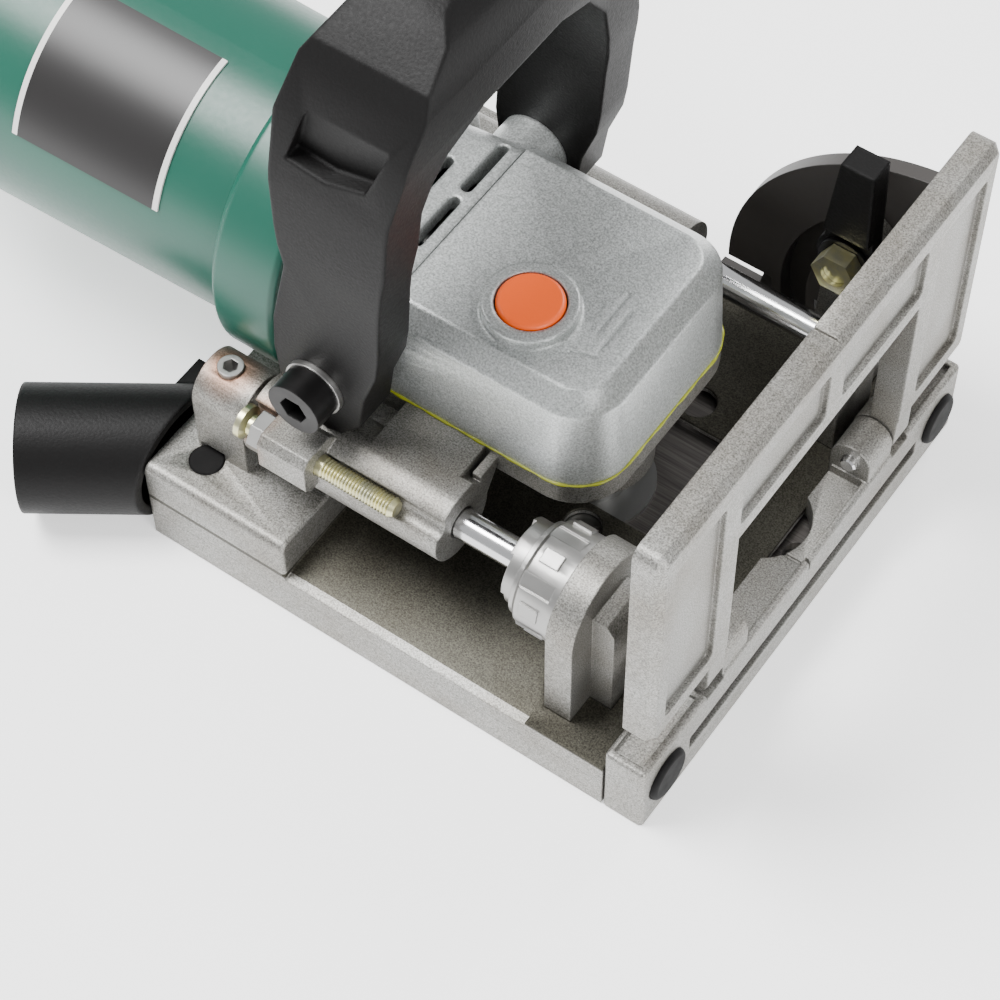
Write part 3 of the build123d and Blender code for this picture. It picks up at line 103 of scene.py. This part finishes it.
floor_mesh = bpy.data.meshes.new("floor")
floor_mesh.from_pydata([(-4, -4, 0), (4, -4, 0), (4, 4, 0), (-4, 4, 0)], [], [(0, 1, 2, 3)])
floor = bpy.data.objects.new("floor", floor_mesh)
floor.location = (0, 0, -0.0002)
bpy.context.scene.collection.objects.link(floor)
white_paper, tree, place = new_material("white_paper")
close_material(tree, node(tree, "ShaderNodeBsdfPrincipled", {
    "Base Color": linear("#FCFCFC"), "Roughness": 0.8, "Emission Color": linear("#FFFFFF"), "Emission Strength": 0.7,
}))
floor_mesh.materials.append(white_paper)

world = bpy.data.worlds.new("studio")
bpy.context.scene.world = world
world.use_nodes = True
world.node_tree.nodes["Background"].inputs["Color"].default_value = linear("#FBFCFD")
world.node_tree.nodes["Background"].inputs["Strength"].default_value = 0.8


def lamp(name, size, watts, where, aim):
    """A square area lamp at a point, facing another."""
    data = bpy.data.lights.new(name, "AREA")
    data.size = size
    data.energy = watts
    made = bpy.data.objects.new(name, data)
    ahead = np.array(aim, float) - np.array(where, float)
    ahead /= np.linalg.norm(ahead)
    side = np.cross(ahead, (0, 0, 1.0))
    side /= np.linalg.norm(side)
    rise = np.cross(side, ahead)
    axes = Matrix((tuple(side), tuple(rise), tuple(-ahead))).transposed()
    made.matrix_world = Matrix.Translation(where) @ axes.to_4x4()
    bpy.context.scene.collection.objects.link(made)


lamp("key", 0.6, 30, (-0.55, -0.25, 1.15), (0, 0, 0.03))
lamp("front", 0.4, 10, (0.95, -0.35, 0.55), (0.03, 0, 0.05))
lamp("far", 0.5, 9, (0.1, 1.1, 0.8), (0, 0, 0.05))

# ---- base, bottom cover, front plate, carriage and fence ------------------------------
# Die-cast aluminium, shot-blasted: pale warm grey with a fine sparkling grain about a third
# of a millimetre wide. The sunken deck is painted darker as painted shade from the machine above, and rust has run
# from two screws.
# Deck height, and the half-width of the height band that gets the painted shade.
DECK_HEIGHT = 14.5 * MM
DECK_SHADE_BAND = 0.6 * MM


def cast_metal(name, painted_deck_shade, rust_spot):
    """Blasted casting. With painted_deck_shade set, painted shade darkens it where height equals the deck's; rust
    fades with distance from one point, broken up by noise."""
    made, tree, place = new_material(name)
    grain = node(tree, "ShaderNodeTexNoise", {"Scale": 2600.0, "Detail": 3.0, "Roughness": 0.7}, {"Vector": place})
    clouds = node(tree, "ShaderNodeTexNoise", {"Scale": 45.0, "Detail": 5.0, "Roughness": 0.6}, {"Vector": place})
    tone = node(tree, "ShaderNodeValToRGB", links={"Fac": grain.outputs["Fac"]})
    tone.color_ramp.elements[0].position = 0.34
    tone.color_ramp.elements[0].color = linear("#62615D")
    tone.color_ramp.elements[1].position = 0.66
    tone.color_ramp.elements[1].color = linear("#ABAAA6")
    warmth = node(tree, "ShaderNodeValToRGB", links={"Fac": clouds.outputs["Fac"]})
    warmth.color_ramp.elements[0].position = 0.30
    warmth.color_ramp.elements[0].color = linear("#D3CCC2")
    warmth.color_ramp.elements[1].position = 0.60
    warmth.color_ramp.elements[1].color = (1, 1, 1, 1)
    dirty = node(tree, "ShaderNodeMix", {"data_type": "RGBA", "blend_type": "MULTIPLY", 0: 0.7})
    tree.links.new(tone.outputs["Color"], dirty.inputs[6])
    tree.links.new(warmth.outputs["Color"], dirty.inputs[7])
    colour = dirty.outputs[2]
    # Painted shade: everything within the band around the deck height is multiplied darker, including a thin strip
    # of wall at that height, to stand in for the shade under the machine.
    if painted_deck_shade:
        height = node(tree, "ShaderNodeSeparateXYZ", links={"Vector": place})
        deck_shade_mask = node(
            tree, "ShaderNodeMath", {"operation": "COMPARE", 1: DECK_HEIGHT, 2: DECK_SHADE_BAND}, {0: height.outputs["Z"]},
        )
        film = node(tree, "ShaderNodeMix", {"data_type": "RGBA", "blend_type": "MULTIPLY", 7: linear("#85837A")})
        tree.links.new(deck_shade_mask.outputs[0], film.inputs[0])
        tree.links.new(colour, film.inputs[6])
        colour = film.outputs[2]
    near = node(tree, "ShaderNodeVectorMath", {"operation": "DISTANCE", 1: rust_spot}, {0: place})
    fade = node(
        tree, "ShaderNodeMapRange", {"From Min": 0.0032, "From Max": 0.0085, "To Min": 0.85, "To Max": 0.0},
        {"Value": near.outputs["Value"]},
    )
    crust = node(tree, "ShaderNodeMath", {"operation": "MULTIPLY"}, {0: fade.outputs[0], 1: grain.outputs["Fac"]})
    rusty = node(tree, "ShaderNodeMix", {"data_type": "RGBA", 7: linear("#A5622A")})
    tree.links.new(crust.outputs[0], rusty.inputs[0])
    tree.links.new(colour, rusty.inputs[6])
    rough = node(tree, "ShaderNodeMapRange", {"To Min": 0.36, "To Max": 0.56}, {"Value": grain.outputs["Fac"]})
    edge = node(tree, "ShaderNodeBevel", {"Radius": 0.0006, "samples": 4})
    bumps = node(
        tree, "ShaderNodeBump", {"Strength": 0.30, "Distance": 0.0002},
        {"Height": grain.outputs["Fac"], "Normal": edge.outputs["Normal"]},
    )
    close_material(tree, node(
        tree, "ShaderNodeBsdfPrincipled", {"Metallic": 0.85},
        {"Base Color": rusty.outputs[2], "Roughness": rough.outputs[0], "Normal": bumps.outputs["Normal"]},
    ))
    return made


# The base casting gets the painted deck shade; the carriage casting does not.
base_metal = cast_metal("shot_blasted_base_casting", True, (-0.055, -0.0458, 0.0498))
sliding_metal = cast_metal("shot_blasted_carriage_casting", False, (-0.041, -0.054, 0.0480))


def dress(made, *names):
    """Gives one material to every slot of the named CAD nodes."""
    for name in names:
        data = nodes[name].data
        if not data.materials:
            data.materials.append(made)
        for i in range(len(data.materials)):
            data.materials[i] = made


dress(base_metal, "base_casting", "base_cover")
dress(sliding_metal, "carriage", "fence", "front_plate")


SHARP = math.radians(35)      # edges turning more than this are rounded


def soften(name, body, width, segments=2):
    """Copy of a CAD node with its doubled points merged and flat triangles joined, whose
    edges sharper than 35 degrees are rounded to the width in millimetres."""
    mesh = nodes[name].data.copy()
    shape = bmesh.new()
    shape.from_mesh(mesh)
    bmesh.ops.remove_doubles(shape, verts=shape.verts, dist=2e-6)
    bmesh.ops.dissolve_limit(shape, angle_limit=math.radians(0.5), verts=shape.verts, edges=shape.edges)
    shape.to_mesh(mesh)
    shape.free()
    mesh.shade_smooth()
    mesh.set_sharp_from_angle(angle=math.radians(32))
    piece = bpy.data.objects.new(name + "_rounded", mesh)
    bpy.context.scene.collection.objects.link(piece)
    bevel = piece.modifiers.new("rounded edges", "BEVEL")
    bevel.width = width * MM
    bevel.segments = segments
    bevel.limit_method = "ANGLE"
    bevel.angle_limit = SHARP
    bevel.harden_normals = True
    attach(piece, body)
    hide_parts(name)


soften("base_casting", "base", 0.6)
soften("front_plate", "base", 0.5)
soften("carriage", "carriage", 0.5)
soften("fence", "fence", 0.5)

# ---- bright and plated steel -------------------------------------------------------
# Ground and polished rods, pins, bushes and the detent ball. Uneven polish, about 2 mm from
# patch to patch, breaks up the reflections.
ground_steel, tree, place = new_material("ground_steel")
polish = node(tree, "ShaderNodeTexNoise", {"Scale": 420.0, "Detail": 2.0}, {"Vector": place})
rough = node(tree, "ShaderNodeMapRange", {"To Min": 0.10, "To Max": 0.24}, {"Value": polish.outputs["Fac"]})
close_material(tree, node(
    tree, "ShaderNodeBsdfPrincipled", {"Base Color": linear("#CFCFD0"), "Metallic": 1.0},
    {"Roughness": rough.outputs[0]},
))
dress(ground_steel, "guide_rods", "hinge_pins", "detent_ball", "rod_bushings")

# Zinc-plated turret, nuts and screws: bright grey with a soft cloudy gloss.
zinc_plate, tree, place = new_material("zinc_plated_die_casting")
clouds = node(tree, "ShaderNodeTexNoise", {"Scale": 260.0, "Detail": 4.0}, {"Vector": place})
rough = node(tree, "ShaderNodeMapRange", {"To Min": 0.24, "To Max": 0.44}, {"Value": clouds.outputs["Fac"]})
edge = node(tree, "ShaderNodeBevel", {"Radius": 0.0004, "samples": 4})
bumps = node(
    tree, "ShaderNodeBump", {"Strength": 0.15, "Distance": 0.0002},
    {"Height": clouds.outputs["Fac"], "Normal": edge.outputs["Normal"]},
)
close_material(tree, node(
    tree, "ShaderNodeBsdfPrincipled", {"Base Color": linear("#9E9D9B"), "Metallic": 0.95},
    {"Roughness": rough.outputs[0], "Normal": bumps.outputs["Normal"]},
))
dress(
    zinc_plate, "depth_turret", "depth_lock_nut", "quadrant_screws", "handle_washers",
    "cover_screws", "case_screws", "rod_set_screws", "bracket_screw",
)
soften("depth_turret", "turret", 0.25)

# Yellow-passivated zinc of the stop screw and the clamp nut.
yellow_zinc, tree, place = new_material("yellow_passivated_zinc")
clouds = node(tree, "ShaderNodeTexNoise", {"Scale": 300.0, "Detail": 3.0}, {"Vector": place})
tint = node(tree, "ShaderNodeValToRGB", links={"Fac": clouds.outputs["Fac"]})
tint.color_ramp.elements[0].position = 0.35
tint.color_ramp.elements[0].color = linear("#B9B8A0")
tint.color_ramp.elements[1].position = 0.7
tint.color_ramp.elements[1].color = linear("#D2CC96")
close_material(tree, node(
    tree, "ShaderNodeBsdfPrincipled", {"Metallic": 0.95, "Roughness": 0.28}, {"Base Color": tint.outputs["Color"]},
))
dress(yellow_zinc, "depth_screw", "lever_nut", "clamp_bolt")

# Plain machined steel inside: spindle, gears, bearings, springs.
oiled_steel, tree, place = new_material("oiled_steel")
film = node(tree, "ShaderNodeTexNoise", {"Scale": 180.0, "Detail": 3.0}, {"Vector": place})
rough = node(tree, "ShaderNodeMapRange", {"To Min": 0.25, "To Max": 0.45}, {"Value": film.outputs["Fac"]})
close_material(tree, node(
    tree, "ShaderNodeBsdfPrincipled", {"Base Color": linear("#8E8E8D"), "Metallic": 1.0},
    {"Roughness": rough.outputs[0]},
))
dress(
    oiled_steel, "plate_screws", "rod_clips", "detent_spring", "return_springs", "spindle_bearings",
    "motor_bearings", "stator", "button_spring", "spindle", "bevel_gear", "blade_tips", "blade_flanges",
    "armature_shaft", "armature_core", "bevel_pinion", "lock_pin",
)

# The return springs sit between the clip on the rod and the seat on the carriage, which the stroke brings
# 15 mm nearer; here the merged coils only ride with the carriage and are not shortened.
spring_mesh = nodes["return_springs"].data.copy()
shape = bmesh.new()
shape.from_mesh(spring_mesh)
bmesh.ops.remove_doubles(shape, verts=shape.verts, dist=2e-6)
shape.to_mesh(spring_mesh)
shape.free()
coils = bpy.data.objects.new("return_spring_coils", spring_mesh)
bpy.context.scene.collection.objects.link(coils)
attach(coils, "carriage")
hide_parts("return_springs")
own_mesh(coils)

# Black-oxide socket screws and the washer below the lever: blued, slightly oily.
black_oxide, tree, place = new_material("black_oxide_steel")
film = node(tree, "ShaderNodeTexNoise", {"Scale": 220.0, "Detail": 3.0}, {"Vector": place})
rough = node(tree, "ShaderNodeMapRange", {"To Min": 0.30, "To Max": 0.50}, {"Value": film.outputs["Fac"]})
edge = node(tree, "ShaderNodeBevel", {"Radius": 0.0004, "samples": 4})
close_material(tree, node(
    tree, "ShaderNodeBsdfPrincipled", {"Base Color": linear("#1B1A1A"), "Metallic": 0.8},
    {"Roughness": rough.outputs[0], "Normal": edge.outputs["Normal"]},
))
dress(black_oxide, "handle_bolts", "lever_washer")

# Copper windings and commutator, carbon brushes.
enamelled_copper, tree, place = new_material("enamelled_copper")
wires = node(tree, "ShaderNodeTexWave", {"Scale": 400.0, "Distortion": 1.5}, {"Vector": place})
tint = node(tree, "ShaderNodeValToRGB", links={"Fac": wires.outputs["Fac"]})
tint.color_ramp.elements[0].color = linear("#6E3416")
tint.color_ramp.elements[1].color = linear("#C4763C")
close_material(tree, node(
    tree, "ShaderNodeBsdfPrincipled", {"Metallic": 0.9, "Roughness": 0.35}, {"Base Color": tint.outputs["Color"]},
))
dress(enamelled_copper, "field_coils", "armature_windings", "commutator")

carbon, tree, place = new_material("pressed_carbon")
dust = node(tree, "ShaderNodeTexNoise", {"Scale": 900.0, "Detail": 2.0}, {"Vector": place})
rough = node(tree, "ShaderNodeMapRange", {"To Min": 0.5, "To Max": 0.7}, {"Value": dust.outputs["Fac"]})
close_material(tree, node(
    tree, "ShaderNodeBsdfPrincipled", {"Base Color": linear("#26262A")}, {"Roughness": rough.outputs[0]},
))
dress(carbon, "carbon_brushes")

# ---- gear case ------------------------------------------------------------------------
# Die-cast aluminium under a silver hammer-metallic paint: flakes about half a millimetre
# apart catch the light, and the clear coat rounds every edge.
silver_paint, tree, place = new_material("silver_metallic_paint")
clouds = node(tree, "ShaderNodeTexNoise", {"Scale": 2200.0, "Detail": 3.0, "Roughness": 0.65}, {"Vector": place})
tint = node(tree, "ShaderNodeValToRGB", links={"Fac": clouds.outputs["Fac"]})
tint.color_ramp.elements[0].position = 0.36
tint.color_ramp.elements[0].color = linear("#9A9D9B")
tint.color_ramp.elements[1].position = 0.64
tint.color_ramp.elements[1].color = linear("#CDD0CF")
rough = node(tree, "ShaderNodeMapRange", {"To Min": 0.30, "To Max": 0.50}, {"Value": clouds.outputs["Fac"]})
edge = node(tree, "ShaderNodeBevel", {"Radius": 0.0012, "samples": 6})
bumps = node(
    tree, "ShaderNodeBump", {"Strength": 0.22, "Distance": 0.00025},
    {"Height": clouds.outputs["Fac"], "Normal": edge.outputs["Normal"]},
)
close_material(tree, node(
    tree, "ShaderNodeBsdfPrincipled", {"Metallic": 0.75, "Coat Weight": 0.25, "Coat Roughness": 0.15},
    {"Base Color": tint.outputs["Color"], "Roughness": rough.outputs[0], "Normal": bumps.outputs["Normal"]},
))
dress(silver_paint, "gear_case")
soften("gear_case", "carriage", 0.9, 3)

# Paper gasket between the gear case and the carriage, soaked at its edge with grease.
greasy_paper, tree, place = new_material("greased_gasket_paper")
fibre = node(tree, "ShaderNodeTexNoise", {"Scale": 500.0, "Detail": 3.0}, {"Vector": place})
tint = node(tree, "ShaderNodeValToRGB", links={"Fac": fibre.outputs["Fac"]})
tint.color_ramp.elements[0].color = linear("#6E6C3A")
tint.color_ramp.elements[1].color = linear("#A8A468")
close_material(tree, node(
    tree, "ShaderNodeBsdfPrincipled", {"Roughness": 0.35}, {"Base Color": tint.outputs["Color"]},
))
dress(greasy_paper, "gear_case_gasket")

# The grease squeezed out round the seam: clean and yellow-green, thicker in some places than in others.
grease, tree, place = new_material("lithium_grease")
blobs = node(tree, "ShaderNodeTexNoise", {"Scale": 300.0, "Detail": 2.0}, {"Vector": place})
tint = node(tree, "ShaderNodeValToRGB", links={"Fac": blobs.outputs["Fac"]})
tint.color_ramp.elements[0].color = linear("#6E7310")
tint.color_ramp.elements[1].color = linear("#B7BC3A")
close_material(tree, node(
    tree, "ShaderNodeBsdfPrincipled", {"Roughness": 0.22, "IOR": 1.47}, {"Base Color": tint.outputs["Color"]},
))


def closed_tube(name, centre, outward, radius, around=10):
    """Tube on a closed path: each ring is the path point plus the radius there times the
    cosine of its angle outwards and its sine upwards."""
    angle = np.linspace(0, 2 * np.pi, around, endpoint=False)
    ring = outward[:, None, :] * np.cos(angle)[None, :, None] + np.array((0, 0, 1.0)) * np.sin(angle)[None, :, None]
    points = centre[:, None, :] + ring * radius[:, None, None]
    along, across = np.meshgrid(np.arange(len(centre)), np.arange(around), indexing="ij")
    ahead, beside = (along + 1) % len(centre), (across + 1) % around
    quads = np.stack([
        along * around + across, ahead * around + across, ahead * around + beside, along * around + beside,
    ], -1).reshape(-1, 4)
    mesh = bpy.data.meshes.new(name)
    mesh.from_pydata(points.reshape(-1, 3).tolist(), [], quads.tolist())
    mesh.shade_smooth()
    made = bpy.data.objects.new(name, mesh)
    bpy.context.scene.collection.objects.link(made)
    return made


gasket = nodes["gear_case_gasket"].data
corners = np.zeros(3 * len(gasket.vertices))
gasket.vertices.foreach_get("co", corners)
corners = corners.reshape(-1, 3)
seam_height = corners[:, 2].mean()
facing = np.linspace(0, 2 * np.pi, 720, endpoint=False)
farthest = np.argmax(corners[:, :2] @ np.stack([np.cos(facing), np.sin(facing)]), axis=0)
outline = corners[farthest[np.append(True, np.diff(farthest) != 0)], :2]
lengths = np.linalg.norm(np.roll(outline, -1, 0) - outline, axis=1)
marks = np.append(0, np.cumsum(lengths))
steps = np.linspace(0, marks[-1], 360, endpoint=False)
looped = np.vstack([outline, outline[:1]])
path = np.stack([np.interp(steps, marks, looped[:, 0]), np.interp(steps, marks, looped[:, 1])], -1)
forward = np.roll(path, -1, 0) - np.roll(path, 1, 0)
forward /= np.linalg.norm(forward, axis=1)[:, None]
outward = np.column_stack([forward[:, 1], -forward[:, 0], np.zeros(len(path))])
centre = np.column_stack([path, np.full(len(path), seam_height)]) + outward * 0.05 * MM
bead_radius, slow_swell, quick_swell = 0.36, 0.10, 0.05      # millimetres
slow_waves, quick_waves = 22, 53                            # whole waves round the seam
round_trip = 2 * np.pi * steps / marks[-1]
swell = bead_radius + slow_swell * np.sin(slow_waves * round_trip)
swell += quick_swell * np.sin(quick_waves * round_trip + 1.3)
grease_bead = closed_tube("grease_bead", centre, outward, swell * MM)
grease_bead.data.materials.append(grease)
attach(grease_bead, "carriage")

# ---- lock button ------------------------------------------------------------------------
# Injection-moulded orange nylon with a fine spark-eroded grain and a rounded rim.
orange_nylon, tree, place = new_material("orange_nylon")
spark = node(tree, "ShaderNodeTexNoise", {"Scale": 1600.0, "Detail": 2.0}, {"Vector": place})
bumps = node(tree, "ShaderNodeBump", {"Strength": 0.18, "Distance": 0.0002}, {"Height": spark.outputs["Fac"]})
close_material(tree, node(
    tree, "ShaderNodeBsdfPrincipled", {"Base Color": linear("#FF5F00"), "Roughness": 0.42, "IOR": 1.53},
    {"Normal": bumps.outputs["Normal"]},
))
dress(orange_nylon, "lock_button")

# ---- motor housing -----------------------------------------------------------------------
# Glass-filled nylon in a grey green, moulded with a satin skin that is almost glossy.
green_nylon, tree, place = new_material("green_glass_filled_nylon")
skin = node(tree, "ShaderNodeTexNoise", {"Scale": 900.0, "Detail": 3.0}, {"Vector": place})
sink = node(tree, "ShaderNodeTexNoise", {"Scale": 30.0, "Detail": 2.0}, {"Vector": place})
tint = node(tree, "ShaderNodeValToRGB", links={"Fac": sink.outputs["Fac"]})
tint.color_ramp.elements[0].color = linear("#064A3B")
tint.color_ramp.elements[1].color = linear("#0A5343")
rough = node(tree, "ShaderNodeMapRange", {"To Min": 0.30, "To Max": 0.42}, {"Value": skin.outputs["Fac"]})
edge = node(tree, "ShaderNodeBevel", {"Radius": 0.0010, "samples": 4})
bumps = node(
    tree, "ShaderNodeBump", {"Strength": 0.08, "Distance": 0.0002},
    {"Height": skin.outputs["Fac"], "Normal": edge.outputs["Normal"]},
)
close_material(tree, node(
    tree, "ShaderNodeBsdfPrincipled", {"IOR": 1.52},
    {"Base Color": tint.outputs["Color"], "Roughness": rough.outputs[0], "Normal": bumps.outputs["Normal"]},
))
dress(green_nylon, "motor_housing")

# Printed film label: dark face with a thin pale border, no lettering.
label_film, tree, place = new_material("printed_label_film")
spread = node(tree, "ShaderNodeSeparateXYZ", links={"Vector": place})
inside = node(tree, "ShaderNodeMath", {"operation": "ABSOLUTE"})
middle = node(tree, "ShaderNodeMath", {"operation": "ADD", 1: 0.101}, {0: spread.outputs["X"]})
tree.links.new(middle.outputs[0], inside.inputs[0])
border = node(tree, "ShaderNodeMath", {"operation": "GREATER_THAN", 1: 0.0186}, {0: inside.outputs[0]})
face = node(tree, "ShaderNodeMix", {"data_type": "RGBA", 6: linear("#191717"), 7: linear("#D9D8D4")})
tree.links.new(border.outputs[0], face.inputs[0])
close_material(tree, node(
    tree, "ShaderNodeBsdfPrincipled", {"Roughness": 0.38}, {"Base Color": face.outputs[2]},
))
dress(label_film, "nameplate")

# ---- bow handle, dust port and other black mouldings ----------------------------------------
# Black glass-filled nylon with a spark-eroded grain of a few tenths of a millimetre.
black_nylon, tree, place = new_material("black_grained_nylon")
spark = node(tree, "ShaderNodeTexNoise", {"Scale": 1500.0, "Detail": 3.0}, {"Vector": place})
rough = node(tree, "ShaderNodeMapRange", {"To Min": 0.42, "To Max": 0.60}, {"Value": spark.outputs["Fac"]})
edge = node(tree, "ShaderNodeBevel", {"Radius": 0.0012, "samples": 6})
bumps = node(
    tree, "ShaderNodeBump", {"Strength": 0.30, "Distance": 0.0002},
    {"Height": spark.outputs["Fac"], "Normal": edge.outputs["Normal"]},
)
close_material(tree, node(
    tree, "ShaderNodeBsdfPrincipled", {"Base Color": linear("#070606"), "IOR": 1.47, "Specular IOR Level": 0.2},
    {"Roughness": rough.outputs[0], "Normal": bumps.outputs["Normal"]},
))
dress(black_nylon, "bow_handle", "switch_slider", "power_switch", "cooling_fan", "lock_lever", "dust_port")
soften("bow_handle", "carriage", 2.2, 4)
soften("lock_lever", "lever", 0.8, 3)
soften("dust_port", "base", 0.4)

# Rubber pads, plugs and the empty cord inlet.
black_rubber, tree, place = new_material("black_rubber")
chalk = node(tree, "ShaderNodeTexNoise", {"Scale": 400.0, "Detail": 3.0}, {"Vector": place})
rough = node(tree, "ShaderNodeMapRange", {"To Min": 0.55, "To Max": 0.75}, {"Value": chalk.outputs["Fac"]})
close_material(tree, node(
    tree, "ShaderNodeBsdfPrincipled", {"Base Color": linear("#080707"), "IOR": 1.47, "Specular IOR Level": 0.18},
    {"Roughness": rough.outputs[0]},
))
dress(black_rubber, "grip_pads", "base_plugs", "cord_gland")

# Painted steel quadrant of the fence: dark warm grey, slightly orange-peeled.
grey_enamel, tree, place = new_material("grey_stove_enamel")
peel = node(tree, "ShaderNodeTexNoise", {"Scale": 500.0, "Detail": 2.0}, {"Vector": place})
edge = node(tree, "ShaderNodeBevel", {"Radius": 0.0004, "samples": 4})
bumps = node(
    tree, "ShaderNodeBump", {"Strength": 0.12, "Distance": 0.0003},
    {"Height": peel.outputs["Fac"], "Normal": edge.outputs["Normal"]},
)
close_material(tree, node(
    tree, "ShaderNodeBsdfPrincipled", {"Base Color": linear("#383533"), "Roughness": 0.45, "IOR": 1.5},
    {"Normal": bumps.outputs["Normal"]},
))
dress(grey_enamel, "quadrant", "clamp_bracket")

# ---- blade -----------------------------------------------------------------------------------
# Laser-cut saw steel, ground flat: straight fine scratches a few tenths of a millimetre apart.
blade_steel, tree, place = new_material("brushed_saw_steel")
stretch = node(tree, "ShaderNodeMapping", {"Scale": (60.0, 2600.0, 60.0)}, {"Vector": place})
scratches = node(tree, "ShaderNodeTexNoise", {"Scale": 1.0, "Detail": 3.0}, {"Vector": stretch.outputs["Vector"]})
tint = node(tree, "ShaderNodeValToRGB", links={"Fac": scratches.outputs["Fac"]})
tint.color_ramp.elements[0].color = linear("#3C3836")
tint.color_ramp.elements[1].color = linear("#8A8683")
close_material(tree, node(
    tree, "ShaderNodeBsdfPrincipled", {"Metallic": 0.95, "Roughness": 0.38}, {"Base Color": tint.outputs["Color"]},
))
dress(blade_steel, "blade")
